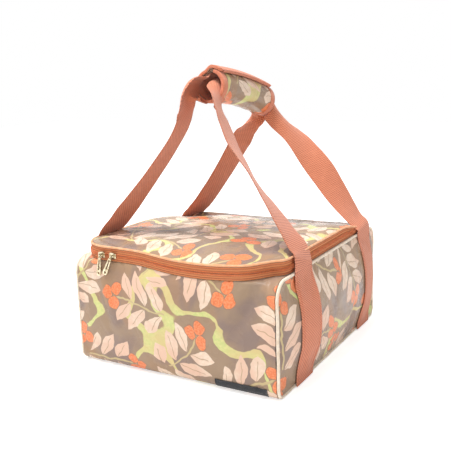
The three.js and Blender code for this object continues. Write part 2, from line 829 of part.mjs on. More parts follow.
// One leg of a loop: up from its hinge, over the lid's edge, in below the grip and round into it.
function loopLeg(end, twist) {
  const foot = new THREE.Vector3(
    strapHingeX - webThickness / 2,
    strapCentre(end),
    boxHeight + clearance / 2,
  );
  const { kneeRise, bowLean, bowRise, reach } = end < 0 ? frontLeg : rearLeg;
  const knee = new THREE.Vector3(foot.x - kneeLean, foot.y, lidEdgeHeight + kneeRise);
  const gripEnd = gripCentre.clone().addScaledVector(gripAxis, (end * webRun) / 2);
  gripEnd.x += curlRadius;
  const outside = gripEnd.clone().addScaledVector(gripAxis, end * reach);
  const elbow = outside.clone().add(new THREE.Vector3(elbowSpread, 0, -elbowDrop));
  const bow = knee.clone().lerp(elbow, bowRise / (elbow.z - knee.z)).setX(knee.x - bowLean);
  const kneeStart = knee.clone().lerp(foot, kneeReach / knee.distanceTo(foot));
  const kneeEnd = knee.clone().lerp(bow, kneeReach / knee.distanceTo(bow));
  const elbowStart = elbow.clone().lerp(bow, elbowRun / elbow.distanceTo(bow));
  const none = () => 0;
  const twistFrom = 0.2;
  const twistRun = 0.4;
  return [
    { curve: new THREE.LineCurve3(foot, kneeStart), steps: 1, curlAt: none, twistAt: none },
    {
      curve: new THREE.QuadraticBezierCurve3(kneeStart, knee, kneeEnd),
      steps: 3,
      curlAt: none,
      twistAt: none,
    },
    {
      curve: new THREE.QuadraticBezierCurve3(kneeEnd, bow, elbowStart),
      steps: 7,
      curlAt: none,
      twistAt: (t) => twist * smooth((t - twistFrom) / twistRun) * smooth((1 - t) / twistRun),
    },
    {
      curve: new THREE.CubicBezierCurve3(elbowStart, elbow, outside, gripEnd),
      steps: 6,
      curlAt: smooth,
      twistAt: none,
    },
  ];
}

function legStations(end, twist) {
  return loopLeg(end, twist).flatMap(({ curve, steps, curlAt, twistAt }, index) =>
    Array.from({ length: steps + (index ? 0 : 1) }, (_, k) => {
      const t = (k + (index ? 1 : 0)) / steps;
      const along = curve.getTangent(t).multiplyScalar(-end);
      return { point: curve.getPoint(t), along, curl: curlAt(t), twist: twistAt(t) };
    }),
  );
}

// A strip of webbing whose section curls from flat, at its feet, to half a tube inside the grip.
function loopWebbing(side, twist) {
  const stations = [...legStations(-1, twist), ...legStations(1, twist).reverse()];
  const columns = 7;
  const inward = new THREE.Vector3(-1, 0, 0);
  const point = (i, j, depth) => {
    const station = stations[i];
    const widthways = new THREE.Vector3().crossVectors(inward, station.along).normalize();
    widthways.applyAxisAngle(station.along, THREE.MathUtils.degToRad(station.twist));
    const normal = new THREE.Vector3().crossVectors(station.along, widthways).normalize();
    const total = Math.max(0.01, station.curl * curlAngle);
    const radius = webWidth / total;
    const angle = total * (j / (columns - 1) - 0.5);
    const place = station.point
      .clone()
      .addScaledVector(widthways, (radius + depth) * Math.sin(angle))
      .addScaledVector(normal, radius - (radius + depth) * Math.cos(angle));
    return new THREE.Vector3(side * place.x, place.y, place.z);
  };
  const half = webThickness / 2;
  return gridSolid(stations.length, columns, (i, j) => point(i, j, half), (i, j) => point(i, j, -half));
}

// Grip: a padded wrap in two halves round both loops, closed over the top with hook and loop tape

const gripUp = new THREE.Vector3().crossVectors(new THREE.Vector3(1, 0, 0), gripAxis);
const padFrom = -88;
const padTo = 76;
const flapFrom = 268;
const flapTo = 38;
const flapSteps = 18;
const flapLiftFrom = 112;
const flapLiftTo = 84;
const tapeFrom = 46;
const tapeTo = 74;
const overPad = padOuter + 3 * clearance + 2 * closureTape;
const bindingTurn = THREE.MathUtils.radToDeg(gripBindingWidth / overPad);
const openTurn = 4;

function gripPoint(radius, degrees, along) {
  const angle = THREE.MathUtils.degToRad(degrees);
  return gripCentre
    .clone()
    .addScaledVector(new THREE.Vector3(1, 0, 0), radius * Math.cos(angle))
    .addScaledVector(gripUp, radius * Math.sin(angle))
    .addScaledVector(gripAxis, along);
}

function gripSheet(from, to, innerAt, outerAt, length, steps) {
  const at = (radiusAt) => (i, j) => {
    const degrees = from + ((to - from) * i) / steps;
    return gripPoint(radiusAt(degrees), degrees, length * (j - 0.5));
  };
  return gridSolid(steps + 1, 2, at(outerAt), at(innerAt));
}

function flapInner(degrees) {
  const lift = smooth((flapLiftFrom - degrees) / (flapLiftFrom - flapLiftTo));
  return padInner + (overPad - padInner) * lift;
}

function flapOuter(degrees) {
  const lift = smooth((flapLiftFrom - degrees) / (flapLiftFrom - flapLiftTo));
  return padOuter + (overPad + flapThickness - padOuter) * lift;
}

function gripPad() {
  return gripSheet(padFrom, padTo, () => padInner, () => padOuter, gripLength, 12);
}

function gripFlap() {
  return gripSheet(flapFrom, flapTo, flapInner, flapOuter, gripLength, flapSteps);
}

// Edge binding: a sheet over the pad or flap, open in the middle and on one long side.
function edgeBinding(from, to, surface, openFrom, openTo, steps) {
  const lift = (extra) => (degrees) => surface(degrees) + clearance + extra;
  const sheet = gripSheet(from, to, lift(0), lift(gripBinding), gripLength, steps);
  const windowLength = gripLength - 2 * gripBindingWidth;
  const opening = gripSheet(openFrom, openTo, lift(-1), lift(gripBinding + 1), windowLength, steps);
  return cut(sheet, opening);
}

function padBinding() {
  return edgeBinding(padFrom, padTo, () => padOuter, padFrom + bindingTurn, padTo + openTurn, 12);
}

function flapBinding() {
  return edgeBinding(flapFrom, flapTo, flapOuter, flapFrom + openTurn, flapTo + bindingTurn, flapSteps);
}

function loopTape() {
  const inner = padOuter + clearance;
  const length = gripLength - 2 * gripBindingWidth - 2;
  return gripSheet(tapeFrom, tapeTo, () => inner, () => inner + closureTape, length, 3);
}

function hookTape() {
  const outer = overPad - clearance;
  const length = gripLength - 2 * gripBindingWidth - 2;
  return gripSheet(tapeFrom, tapeTo, () => outer - closureTape, () => outer, length, 3);
}

// Plain tab in the seam at the foot of the front

function labelTab() {
  const rows = 5;
  const columns = 5;
  const point = (i, j, depth) => {
    const x = tabCentreX + tabWidth * (i / (rows - 1) - 0.5);
    const z = tabBottom + (tabHeight * j) / (columns - 1);
    const wallTop = boxHeight - shoulderAt(x);
    const below = Math.max(0, bottomRadius - z);
    const y = -halfDepth + bottomRadius - Math.sqrt(bottomRadius ** 2 - below ** 2);
    return new THREE.Vector3(x, y - wallBulge(x, z, bottomRadius, wallTop) - strapSeat - depth, z);
  };
  return gridSolid(rows, columns, (i, j) => point(i, j, tabThickness), (i, j) => point(i, j, 0));
}

// Shell
add("front_panel", wallPanel(-1, wallStations(cornerSteps)), "print");
add("back_panel", wallPanel(1, wallStations(2)), "print");
add("base_panel", basePanel(), "print");
for (const [name, side] of [["left", -1], ["right", 1]]) {
  add(`${name}_panel`, sidePanel(side), "print");
  add(`piping_${name}`, sidePiping(side), "cream");
  add(`foam_${name}`, sideFoam(side), "foam");
  add(`strap_${name}_front`, sewnStrap(side, -1), "webbing");
  add(`strap_${name}_rear`, sewnStrap(side, 1), "webbing");
  add(`zip_stop_${name}`, zipStop(side), "zip");
}
add("foam_front", wallFoam(-1), "foam");
add("foam_back", wallFoam(1), "foam");
add("foam_base", baseFoam(), "foam");
add("base_board", baseBoard(), "board");
add("liner_tub", linerTub(), "liner");
add("mouth_binding", mouthBinding(), "cream");
add("zip_tape_lower", zipTape(() => zipBottom, (y) => zipBottom + tapeWidth - zipDip(y)), "zip");
add("zip_coil_lower", zipCoil(zipLine - coilGap / 2 - coilHeight), "zip");
add("label_tab", labelTab(), "tab");

// Lid
add("lid_cover", lidCover(), "print");
add("lid_foam", lidFoam(), "foam");
add("lid_lining", lidLining(), "liner");
add("lid_piping", lidPiping(), "cream");
add("lid_hinge_strip", hingeStrip(), "print");
add("zip_tape_upper", zipTape((y) => lidTapeFoot - zipDip(y), (y) => lidTapeTop - lidDrop(y)), "zip");
add("zip_coil_upper", zipCoil(lidTapeFoot), "zip");

// Sliders and their pulls
const frontSlider = new THREE.Group();
frontSlider.position.set(frontSliderX, mouthFront, zipLine);
bag.add(frontSlider);
add("slider_front", slider().rotateY(Math.PI), "metal", frontSlider);
add("pull_front", pull(frontPullLean), "metal", frontSlider).position.y = -bailAxisDepth;

const leftCorner = new THREE.Group();
leftCorner.position.set(mouthCornerRadius - mouthHalfWidth, mouthFront + mouthCornerRadius, zipLine);
leftCorner.rotation.z = -THREE.MathUtils.degToRad(leftSliderTurn);
bag.add(leftCorner);
add("slider_left", slider(), "metal", leftCorner).position.y = -mouthCornerRadius;
add("pull_left", pull(leftPullLean), "metal", leftCorner).position.y = -mouthCornerRadius - bailAxisDepth;

// Handle
add("loop_left", loopWebbing(-1, 0), "webbing");
add("loop_right", loopWebbing(1, rightLoopTwist), "webbing");
add("grip_pad", gripPad(), "print");
add("grip_pad_binding", padBinding(), "zip");
add("grip_loop_tape", loopTape(), "webbing");
add("grip_flap", gripFlap(), "print");
add("grip_flap_binding", flapBinding(), "zip");
add("grip_hook_tape", hookTape(), "webbing");

export default bag;
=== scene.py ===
"""Looks of the insulated cooler bag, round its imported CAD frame. Lengths are mm until a mesh is made."""

import math

import bpy
import numpy as np
from mathutils import Matrix, Vector
from mathutils.bvhtree import BVHTree


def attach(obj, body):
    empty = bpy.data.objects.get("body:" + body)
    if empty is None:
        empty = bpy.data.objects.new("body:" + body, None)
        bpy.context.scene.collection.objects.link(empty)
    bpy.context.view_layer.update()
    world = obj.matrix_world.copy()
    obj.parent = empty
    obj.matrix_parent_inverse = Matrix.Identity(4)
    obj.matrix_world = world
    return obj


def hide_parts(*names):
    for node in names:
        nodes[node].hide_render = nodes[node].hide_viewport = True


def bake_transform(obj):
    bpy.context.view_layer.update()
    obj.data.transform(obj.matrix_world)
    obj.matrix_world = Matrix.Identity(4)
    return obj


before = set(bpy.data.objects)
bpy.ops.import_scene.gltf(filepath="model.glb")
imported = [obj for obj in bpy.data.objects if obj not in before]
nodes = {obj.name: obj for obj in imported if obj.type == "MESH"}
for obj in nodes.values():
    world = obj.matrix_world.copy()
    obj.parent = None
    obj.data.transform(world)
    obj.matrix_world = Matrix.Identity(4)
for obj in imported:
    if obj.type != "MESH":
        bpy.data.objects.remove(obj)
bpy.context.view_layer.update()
scene = bpy.context.scene
MM = 0.001

# The part's own sizes
HALF_WIDTH, HALF_DEPTH, HEIGHT = 150.0, 170.0, 146.0
BOTTOM_RADIUS, SHOULDER_RADIUS, MOUTH_RADIUS = 12.0, 22.0, 48.0
SIDE_BULGE, BULGE_ROUNDNESS, FRONT_BULGE = 15.0, 0.8, 8.0
GAP, CLOTH, FOAM, SEAM = 0.3, 1.2, 6.0, 0.4
PIPING, LID_PIPING = 2.0, 1.5
PANEL_HALF = HALF_WIDTH - PIPING - GAP
MOUTH_FRONT = -HALF_DEPTH + CLOTH + 2 * GAP + SEAM
MOUTH_REAR = HALF_DEPTH - SHOULDER_RADIUS - GAP - SEAM
TAPE, TAPE_WIDTH, COIL_GAP, COIL_DEPTH = 0.8, 7.6, 1.2, 1.7
ZIP_BOTTOM = HEIGHT + GAP
ZIP_LINE = ZIP_BOTTOM + TAPE_WIDTH + COIL_GAP / 2
LID_TAPE_TOP = ZIP_LINE + COIL_GAP / 2 + TAPE_WIDTH
LID_EDGE = LID_TAPE_TOP + GAP + LID_PIPING + CLOTH / 2
ZIP_END, TAPE_END = MOUTH_REAR - 26.0, MOUTH_REAR - 7.5
LID_INSET = TAPE / 2 + LID_PIPING + GAP
LID_REAR, LID_REAR_RADIUS = MOUTH_REAR - TAPE - GAP, 12.0
SIDE_LOW, SIDE_HIGH = 2 * PIPING + 2 * GAP, HEIGHT - 2 * PIPING
SIDE_HALF = HALF_DEPTH - 2 * PIPING
SIDE_LOW_RADIUS = BOTTOM_RADIUS - 2 * PIPING - GAP
SIDE_HIGH_RADIUS = SHOULDER_RADIUS - 2 * PIPING - GAP
WEB_WIDTH, WEB = 50.0, 1.6
STRAP_PLACE = {-1: -100.0, 1: 117.0}
GRIP_CENTRE = np.array([0, 20.0, 352.0])
GRIP_TILT = math.radians(10)
GRIP_AXIS = np.array([0, math.cos(GRIP_TILT), -math.sin(GRIP_TILT)])
GRIP_UP = np.array([0, math.sin(GRIP_TILT), math.cos(GRIP_TILT)])
GRIP_LENGTH, WEB_RUN, WEB_CURL = 148.0, 152.0, math.radians(170)
CURL_RADIUS = WEB_WIDTH / WEB_CURL
PAD_INNER = CURL_RADIUS + WEB / 2 + GAP
PAD, FLAP, FLAP_EDGE = 3.5, 2.4, 50.0
TAB_MIDDLE, TAB_WIDTH, TAB_LOW, TAB_HEIGHT = 100.0, 72.0, 2.5, 11.0

# Shapes that only the soft object has
SAG, BOW, CORNER_PULL, SINK = 6.0, 7.0, 7.0, 8.0
LID_SAG, LID_SAG_LENGTH = 16.0, 160.0
LID_DROP, LID_DROP_LENGTH = 15.0, 105.0
GRIP_ARCH = 4.0
BORDER = 9
THREAD_RADIUS, STITCH_SHARE = 0.28, 0.68
SEAM_INSET = 3.5
OUTSIDE = 400.0

# Hills and hollows of the cloth: height, centre, sizes and turn
FRONT_FOLDS = [
    (2.6, (-118, 112), (9, 34), 0.5),
    (-2.0, (-98, 104), (8, 30), 0.35),
    (2.4, (112, 114), (9, 32), -0.6),
    (-2.2, (90, 106), (10, 30), -0.5),
    (1.2, (-40, 70), (50, 14), 0.2),
    (1.0, (45, 52), (46, 12), -0.15),
]
LID_FOLDS = [
    (1.6, (30, -60), (60, 40), 0.4),
    (-1.2, (-60, 20), (50, 26), 0.8),
    (-1.0, (60, 70), (30, 60), 0.2),
    (0.8, (-30, 90), (60, 30), -0.3),
]


# Shapes


def rise(value, low, high):
    """0 at low, 1 at high and beyond, and a soft step in between. low may be the greater."""
    t = np.clip((value - low) / (high - low), 0, 1)
    return t * t * (3 - 2 * t)


def hump(value, middle, half):
    """1 in the middle, down to 0 at half a width from it."""
    return np.clip(1 - ((value - middle) / half) ** 2, 0, 1)


def hills(x, y, *rows):
    """Soft round rises together, each with its height, centre, two sizes and turn."""
    total = 0
    for height, centre, size, turn in rows:
        dx, dy = x - centre[0], y - centre[1]
        c, s = math.cos(turn), math.sin(turn)
        along, across = (dx * c + dy * s) / size[0], (dy * c - dx * s) / size[1]
        total = total + height * np.exp(-(along**2) - across**2)
    return total


def together(*parts):
    """Coordinates, each a number or an array, put together into points."""
    return np.stack(np.broadcast_arrays(*parts), -1)


def unit(rows):
    return rows / np.maximum(np.linalg.norm(rows, axis=-1, keepdims=True), 1e-9)


def run_along(path):
    """Distance along a path at each of its points."""
    return np.concatenate([[0], np.cumsum(np.linalg.norm(np.diff(path, axis=0), axis=1))])


def arc(x, y, radius, start, stop, count):
    turn = np.linspace(start, stop, count)
    return together(x + radius * np.cos(turn), y + radius * np.sin(turn))


def rounding(place, half, radius):
    """How far a rounded corner draws an edge in, at a place along that edge."""
    past = np.maximum(np.abs(place) - (half - radius), 0)
    return radius - np.sqrt(np.maximum(radius**2 - past**2, 0))


def spread(half, count, crowd=0.93):
    """Places across a width, closer together near its two edges."""
    quarter = math.pi / 2 * crowd
    return half * np.sin(np.linspace(-1, 1, count) * quarter) / math.sin(quarter)


def settle(points):
    """The zip and the cloth next to it sag and bow out in front, and the right front corner is drawn in."""
    x, y, z = np.moveaxis(points, -1, 0)
    near = rise(y, -85, -HALF_DEPTH) * rise(z, 60, 122)
    sag = SAG * near * hump(x, 55, 100) ** 1.5
    bow = BOW * near * hump(x, 15, 95) ** 2
    drawn = rise(z, 70, 130) * rise(np.abs(x), PANEL_HALF, PANEL_HALF - 10)
    drawn = drawn * hills(x, y, (CORNER_PULL / math.sqrt(2), (133.6, -153.7), (28, 28), 0))
    return sink(points + together(-drawn, drawn - bow, -sag))


def sink(points):
    """The left side of the box has sunk a little in front of the rear seam."""
    x, y, z = np.moveaxis(points, -1, 0)
    run = rise(y, -20, 90) * rise(y, 142, 110)
    return points - together(0, 0, SINK * rise(x, -60, -150) * run * rise(z, 95, 145))


# Meshes


def put(target, **values):
    for key, value in values.items():
        setattr(target, key, value)


def piece(name, points, faces, material, body, replaces=(), slot=None, uv=None):
    """A smooth mesh from points in mm, dressed, riding on its body."""
    mesh = bpy.data.meshes.new(name)
    points = np.asarray(points, float).reshape(-1, 3)
    mesh.from_pydata((points * MM).tolist(), [], [list(map(int, face)) for face in faces])
    mesh.validate()
    for polygon in mesh.polygons:
        polygon.use_smooth = True
    if uv is not None:
        layer = mesh.uv_layers.new(name="cloth")
        flat = uv.reshape(-1, 2) * MM
        index = np.zeros(len(mesh.loops), int)
        mesh.loops.foreach_get("vertex_index", index)
        layer.data.foreach_set("uv", flat[index].astype(np.float32).ravel())
    mesh.materials.append(material)
    made = bpy.data.objects.new(name, mesh)
    scene.collection.objects.link(made)
    if body:
        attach(made, body)
    if replaces:
        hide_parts(*replaces)
    return made


def grid_faces(rows, columns, start=0, flip=False, looped=False):
    """Faces between the rows of a grid. looped also joins its last column to its first."""
    i, j = np.meshgrid(np.arange(rows - 1), np.arange(columns if looped else columns - 1), indexing="ij")
    k = (j + 1) % columns
    quads = together(i * columns + j, (i + 1) * columns + j, (i + 1) * columns + k, i * columns + k)
    quads = quads.reshape(-1, 4) + start
    return quads[:, ::-1] if flip else quads


def end_faces(rows, count, start=0):
    """The two faces that close the ends of a loft."""
    last = start + (rows - 1) * count
    return [list(range(start, start + count)), list(range(last, last + count))[::-1]]


def joining_faces(rows, count):
    """Faces from the last ring of a loft back to its first."""
    last = (rows - 1) * count
    return [[last + j, j, (j + 1) % count, last + (j + 1) % count] for j in range(count)]


def shell(name, outer, thickness, outward, material, body, uv, **more):
    """A closed sheet: the outer grid, the same grid a thickness further in, and the edges between."""
    rows, columns = outer.shape[:2]
    n = unit(np.cross(np.gradient(outer, axis=0), np.gradient(outer, axis=1)))
    front = np.mean(np.sum(n * outward, -1)) > 0
    depth = np.broadcast_to(thickness, (rows, columns))[..., None] * (1 if front else -1)
    count = rows * columns
    grid = np.arange(count).reshape(rows, columns)
    rim = np.concatenate([grid[:-1, 0], grid[-1, :-1], grid[:0:-1, -1], grid[0, :0:-1]])
    after = np.roll(rim, -1)
    edge = together(rim, after, after + count, rim + count)
    faces = [
        grid_faces(rows, columns, 0, not front),
        grid_faces(rows, columns, count, front),
        edge if front else edge[:, ::-1],
    ]
    points = np.stack([outer, outer - n * depth])
    both = np.concatenate([uv.reshape(-1, 2)] * 2)
    return piece(name, points, np.concatenate(faces), material, body, uv=both, **more)


def tube(name, path, radius, sides, material, body, looped=False, flat=(0, 0, 1), **more):
    """A round cord along a path. Its first side lies square to the flat direction."""
    along = np.roll(path, -1, 0) - np.roll(path, 1, 0)
    if not looped:
        along[0], along[-1] = path[1] - path[0], path[-1] - path[-2]
    along = unit(along)
    side = unit(np.cross(along, flat))
    up = np.cross(side, along)
    angle = np.linspace(0, 2 * math.pi, sides, endpoint=False)[:, None]
    points = path[:, None] + (side[:, None] * np.cos(angle) + up[:, None] * np.sin(angle)) * radius
    uv = together(run_along(path)[:, None], angle[:, 0] * radius)
    faces = grid_faces(len(path), sides, looped=True).tolist()
    faces += joining_faces(len(path), sides) if looped else end_faces(len(path), sides)
    return piece(name, points, faces, material, body, uv=uv, **more)


def stitches(name, path, normals, pitch, body):
    """A row of thread stitches laid along a path, each a short bowed cord."""
    run = run_along(path)
    bow = np.array([-0.6, 0.35, 0.6, 0.35, -0.6])[:, None] * THREAD_RADIUS
    thick = np.array([0.55, 0.95, 1.0, 0.95, 0.55])[:, None, None] * THREAD_RADIUS
    sides, steps = 5, len(bow)
    angle = np.linspace(0, 2 * math.pi, sides, endpoint=False)[:, None]
    points, faces = [], []
    for start in np.arange(pitch * 0.3, run[-1] - pitch * STITCH_SHARE, pitch):
        s = start + np.linspace(0, pitch * STITCH_SHARE, steps)
        centre, n = (together(*(np.interp(s, run, column) for column in rows.T)) for rows in (path, normals))
        n = unit(n)
        w = np.cross(unit(centre[-1] - centre[0]), n)
        ring = w[:, None] * np.cos(angle) + n[:, None] * np.sin(angle)
        base = len(points) * sides * steps
        points.append((centre + n * bow)[:, None] + ring * thick)
        faces += grid_faces(steps, sides, base, looped=True).tolist() + end_faces(steps, sides, base)
    piece(name, points, faces, THREAD, body)


def relax(points, held, slack, pressure, cap):
    """Blender's cloth on one grid: its held points stay, the rest takes up the slack, up to the cap."""
    rows, columns = points.shape[:2]
    mesh = bpy.data.meshes.new("slack_cloth")
    mesh.from_pydata((points.reshape(-1, 3) * MM).tolist(), [], grid_faces(rows, columns).tolist())
    body = bpy.data.objects.new("slack_cloth", mesh)
    scene.collection.objects.link(body)
    body.vertex_groups.new(name="held").add([int(k) for k in np.flatnonzero(held)], 1.0, "REPLACE")
    cloth = body.modifiers.new("cloth", "CLOTH")
    put(cloth.settings, quality=8, mass=0.2, tension_stiffness=15, compression_stiffness=15,
        shear_stiffness=7.5, bending_stiffness=0.6, air_damping=3, vertex_group_mass="held",
        shrink_min=-slack, use_pressure=True, uniform_pressure_force=pressure)
    cloth.settings.effector_weights.gravity = 0
    cloth.collision_settings.use_collision = False
    cloth.point_cache.frame_start, cloth.point_cache.frame_end = 1, 20
    for number in range(1, 21):
        scene.frame_set(number)
    result = body.evaluated_get(bpy.context.evaluated_depsgraph_get()).data
    flat = np.zeros(points.size)
    result.vertices.foreach_get("co", flat)
    moved = flat.reshape(points.shape) / MM - points
    bpy.data.objects.remove(body)
    scene.frame_set(1)
    length = np.linalg.norm(moved, axis=-1, keepdims=True)
    share = cap * np.tanh(length / cap) / np.maximum(length, 1e-6)
    return points + moved * np.where(held[..., None], 0, share)


# Materials


def tone(text):
    """A colour written as in an image editor, in the linear values that shaders take."""
    parts = [int(text[k : k + 2], 16) / 255 for k in (1, 3, 5)]
    return tuple(c / 12.92 if c <= 0.04045 else ((c + 0.055) / 1.055) ** 2.4 for c in parts) + (1.0,)


class Value:
    """A shader value that can stand in sums."""

    def __init__(self, finish, socket):
        self.math, self.socket = finish.math, socket

    def __add__(self, other):
        return self.math("ADD", self, other)

    def __sub__(self, other):
        return self.math("SUBTRACT", self, other)

    def __rsub__(self, other):
        return self.math("SUBTRACT", other, self)

    def __mul__(self, other):
        return self.math("MULTIPLY", self, other)

    def __truediv__(self, other):
        return self.math("DIVIDE", self, other)

    def __pow__(self, other):
        return self.math("POWER", self, other)

    def __abs__(self):
        return self.math("ABSOLUTE", self)


class Finish:
    """One material's nodes, with short calls for the kinds used here."""

    def __init__(self, name, roughness=0.8, **sockets):
        self.material = bpy.data.materials.new(name)
        self.material.use_nodes = True
        self.tree = self.material.node_tree
        self.shader = self.tree.nodes["Principled BSDF"]
        self.shader.inputs["Roughness"].default_value = roughness
        for socket, value in sockets.items():
            self.shader.inputs[socket.replace("_", " ")].default_value = value

    def add(self, kind, inputs=None, **settings):
        node = self.tree.nodes.new("ShaderNode" + kind)
        put(node, **settings)
        for key, value in (inputs or {}).items():
            self.plug(node.inputs[key], value)
        return node

    def plug(self, socket, value):
        value = tone(value) if isinstance(value, str) else getattr(value, "socket", value)
        if isinstance(value, bpy.types.NodeSocket):
            self.tree.links.new(value, socket)
        else:
            socket.default_value = value

    def math(self, operation, a, b=0.0):
        return Value(self, self.add("Math", {0: a, 1: b}, operation=operation).outputs[0])

    def vector(self, operation, a, b):
        return self.add("VectorMath", {0: a, 1: b}, operation=operation).outputs[0]

    def turned(self, at, angle):
        return self.add("VectorRotate", {"Vector": at, "Angle": angle}, rotation_type="Z_AXIS").outputs[0]

    def mix(self, factor, a, b):
        return self.add("Mix", {0: factor, 6: a, 7: b}, data_type="RGBA").outputs[2]

    def step(self, value, low, high):
        """0 below low, 1 above high, and smooth in between. low may be the greater."""
        inputs = {"Value": value, "From Min": low, "From Max": high}
        return Value(self, self.add("MapRange", inputs, interpolation_type="SMOOTHSTEP").outputs[0])

    def ridges(self, value, pitch):
        """Round ridges a pitch wide, from 0 to 1."""
        return abs(self.math("SINE", value * (math.pi / pitch)))

    def noise(self, at, scale, detail=2.0, roughness=0.5):
        inputs = {"Vector": at, "Scale": scale, "Detail": detail, "Roughness": roughness}
        return Value(self, self.add("TexNoise", inputs).outputs["Fac"])

    def uv(self):
        """The cloth's own coordinates, in millimetres."""
        return self.vector("MULTIPLY", self.add("UVMap", uv_map="cloth").outputs[0], (1000, 1000, 1000))

    def place(self):
        return self.vector("MULTIPLY", self.add("TexCoord").outputs["Object"], (1000, 1000, 1000))

    def split(self, vector):
        return [Value(self, socket) for socket in self.add("SeparateXYZ", {0: vector}).outputs]

    def finish(self, colour, height, distance, strength, roughness=None):
        self.plug(self.shader.inputs["Base Color"], colour)
        if roughness is not None:
            self.plug(self.shader.inputs["Roughness"], roughness)
        inputs = {"Height": height, "Distance": distance, "Strength": strength}
        self.plug(self.shader.inputs["Normal"], self.add("Bump", inputs).outputs[0])
        return self.material


def weave(f, at, pitch):
    """Height of a plain weave whose threads are a pitch wide, from 0 to 1."""
    x, y, _ = f.split(at)
    a, b = f.ridges(x, pitch), f.ridges(y, pitch)
    return f.math("MAXIMUM", a * b, a * a * 0.6)


LEAFLET_PITCH, LEAFLET_WIDTH, LEAFLET_REACH, LEAFLET_SLANT = 25.0, 9.7, 19.5, 0.62
BERRY_RADIUS, BERRY_LINE, STEM_REACH = 8.6, 1.1, 44.0


def sprig(f, at, spacing, turn):
    """Scattered branches: masks of the leaflets, their ribs and the stem, and distance to the berries."""
    turned = f.turned(f.vector("ADD", at, (37.0, 19.0, 0)), turn)
    inputs = {"Vector": turned, "Scale": 1 / spacing, "Randomness": 0.25}
    cells = f.add("TexVoronoi", inputs, voronoi_dimensions="2D").outputs
    chance, other, _ = f.split(cells["Color"])
    away = f.vector("SUBTRACT", turned, cells["Position"])
    x, y, _ = f.split(f.turned(away, chance * (2 * math.pi)))
    x = x + 9.0
    y = y + x * x * ((other - 0.5) * 0.012)
    off = abs(y)
    along = x + 6.0 - off * LEAFLET_SLANT
    part = abs((f.math("FRACT", along / LEAFLET_PITCH) - 0.5) * (LEAFLET_PITCH * 0.85))
    half = LEAFLET_REACH - abs(along + 14.0) * 0.14
    reach = (off - 2.5 - half) / half
    inside = (1 - reach * reach) * LEAFLET_WIDTH - part
    whole = f.step(along, LEAFLET_PITCH + 0.1, LEAFLET_PITCH - 0.1)
    whole = whole * f.step(along, -2 * LEAFLET_PITCH - 0.1, -2 * LEAFLET_PITCH + 0.1)
    leaf = f.step(inside, 0.0, 0.5) * whole
    rib = f.step(part, 0.75, 0.35) * f.step(reach, 0.62, 0.5)
    stem = f.step(off, 1.5, 1.0) * f.step(abs(x + 6.0), STEM_REACH, STEM_REACH - 1)
    pair = (x - 34.0) ** 2 + (off - 9.5) ** 2
    tip = (x - 48.0) ** 2 + y**2
    berry = f.math("SQRT", f.math("MINIMUM", pair, tip))
    return leaf, rib * leaf, stem, berry


def printed_cloth(name):
    """The bag's cloth: branches of pointed leaflets with coral berries, and lime ribbons, on taupe."""
    f = Finish(name, 0.75, Specular_IOR_Level=0.16)
    at = f.uv()
    warp = f.add("TexNoise", {"Vector": at, "Scale": 0.045, "Detail": 2.0}).outputs["Color"]
    warp = f.vector("MULTIPLY", f.vector("SUBTRACT", warp, (0.5, 0.5, 0.5)), (11, 11, 0))
    drawn = f.vector("ADD", at, warp)
    soft = f.noise(at, 0.016, 3)
    fine = f.noise(at, 0.22, 3)
    ground = f.mix(f.step(soft, 0.44, 0.62), "#a18870", "#8f7a70")
    stroke = f.noise(f.vector("MULTIPLY", drawn, (1, 0.35, 1)), 0.03, 2)
    ground = f.mix(f.step(stroke, 0.5, 0.66) * 0.55, ground, "#b08a68")
    ribbon = abs(f.noise(f.vector("ADD", drawn, (310, 45, 0)), 0.0085, 1) - 0.5)
    wide = f.noise(f.vector("ADD", drawn, (90, 10, 0)), 0.03, 1) * 0.032
    lime = f.mix(f.step(fine, 0.35, 0.7), "#c9cf86", "#dbd792")
    lime = f.mix(f.step(soft, 0.4, 0.6), lime, "#d6c288")
    colour = f.mix(f.step(ribbon, wide, wide - 0.003), ground, lime)
    leaf, rib, stem, berry = sprig(f, drawn, 94.0, 0.45)
    pale = f.mix(f.step(fine, 0.3, 0.75), "#e6cbb3", "#edd9c5")
    pale = f.mix(f.step(soft, 0.42, 0.6), pale, "#e3bea6")
    colour = f.mix(stem, colour, "#c9b487")
    colour = f.mix(leaf, colour, pale)
    colour = f.mix(rib * 0.8, colour, "#b59577")
    coral = f.mix(f.step(f.noise(at, 0.4, 3), 0.35, 0.7), "#e47c50", "#f09a6b")
    outline = BERRY_RADIUS + BERRY_LINE
    colour = f.mix(f.step(berry, outline, outline - 0.5), colour, "#9a7c66")
    colour = f.mix(f.step(berry, BERRY_RADIUS, BERRY_RADIUS - 0.5), colour, coral)
    threads = weave(f, at, 0.55)
    # Painted shade: the gaps between the threads are darkened towards #6f5f55.
    colour = f.mix((1 - threads) * 0.12, colour, "#6f5f55")
    crumple = threads * 0.35 + f.noise(at, 0.06, 3)
    return f.finish(colour, crumple, 0.0007, 0.35, f.step(f.noise(at, 0.05), 0.0, 1.6))


def ribbed_webbing(name, light, dark, pitch):
    """Webbing: twilled ribs across it, lengthways threads between them, painted light on the rib crests and
    painted shade in the hollows, and lighter worn patches.
    """
    f = Finish(name, 0.85, Specular_IOR_Level=0.2, Sheen_Weight=0.25, Sheen_Roughness=0.5)
    thread_pitch = 1.1
    at = f.uv()
    x, y, _ = f.split(at)
    shift = f.math("FLOOR", y / thread_pitch) * (0.5 * pitch)
    twill = f.math("SINE", (x + shift) * (math.pi / pitch))
    height = f.ridges(x, pitch) * 0.7 + twill * f.ridges(y, thread_pitch) * 0.3
    # Painted light and shade: rib crests take the light tone, the hollows between the ribs the dark tone.
    colour = f.mix(f.step(height, 0.05, 0.75), dark, light)
    colour = f.mix(f.step(f.noise(at, 0.08, 4, 0.65), 0.45, 0.8) * 0.35, colour, light)
    return f.finish(colour, height, 0.0005, 0.5)


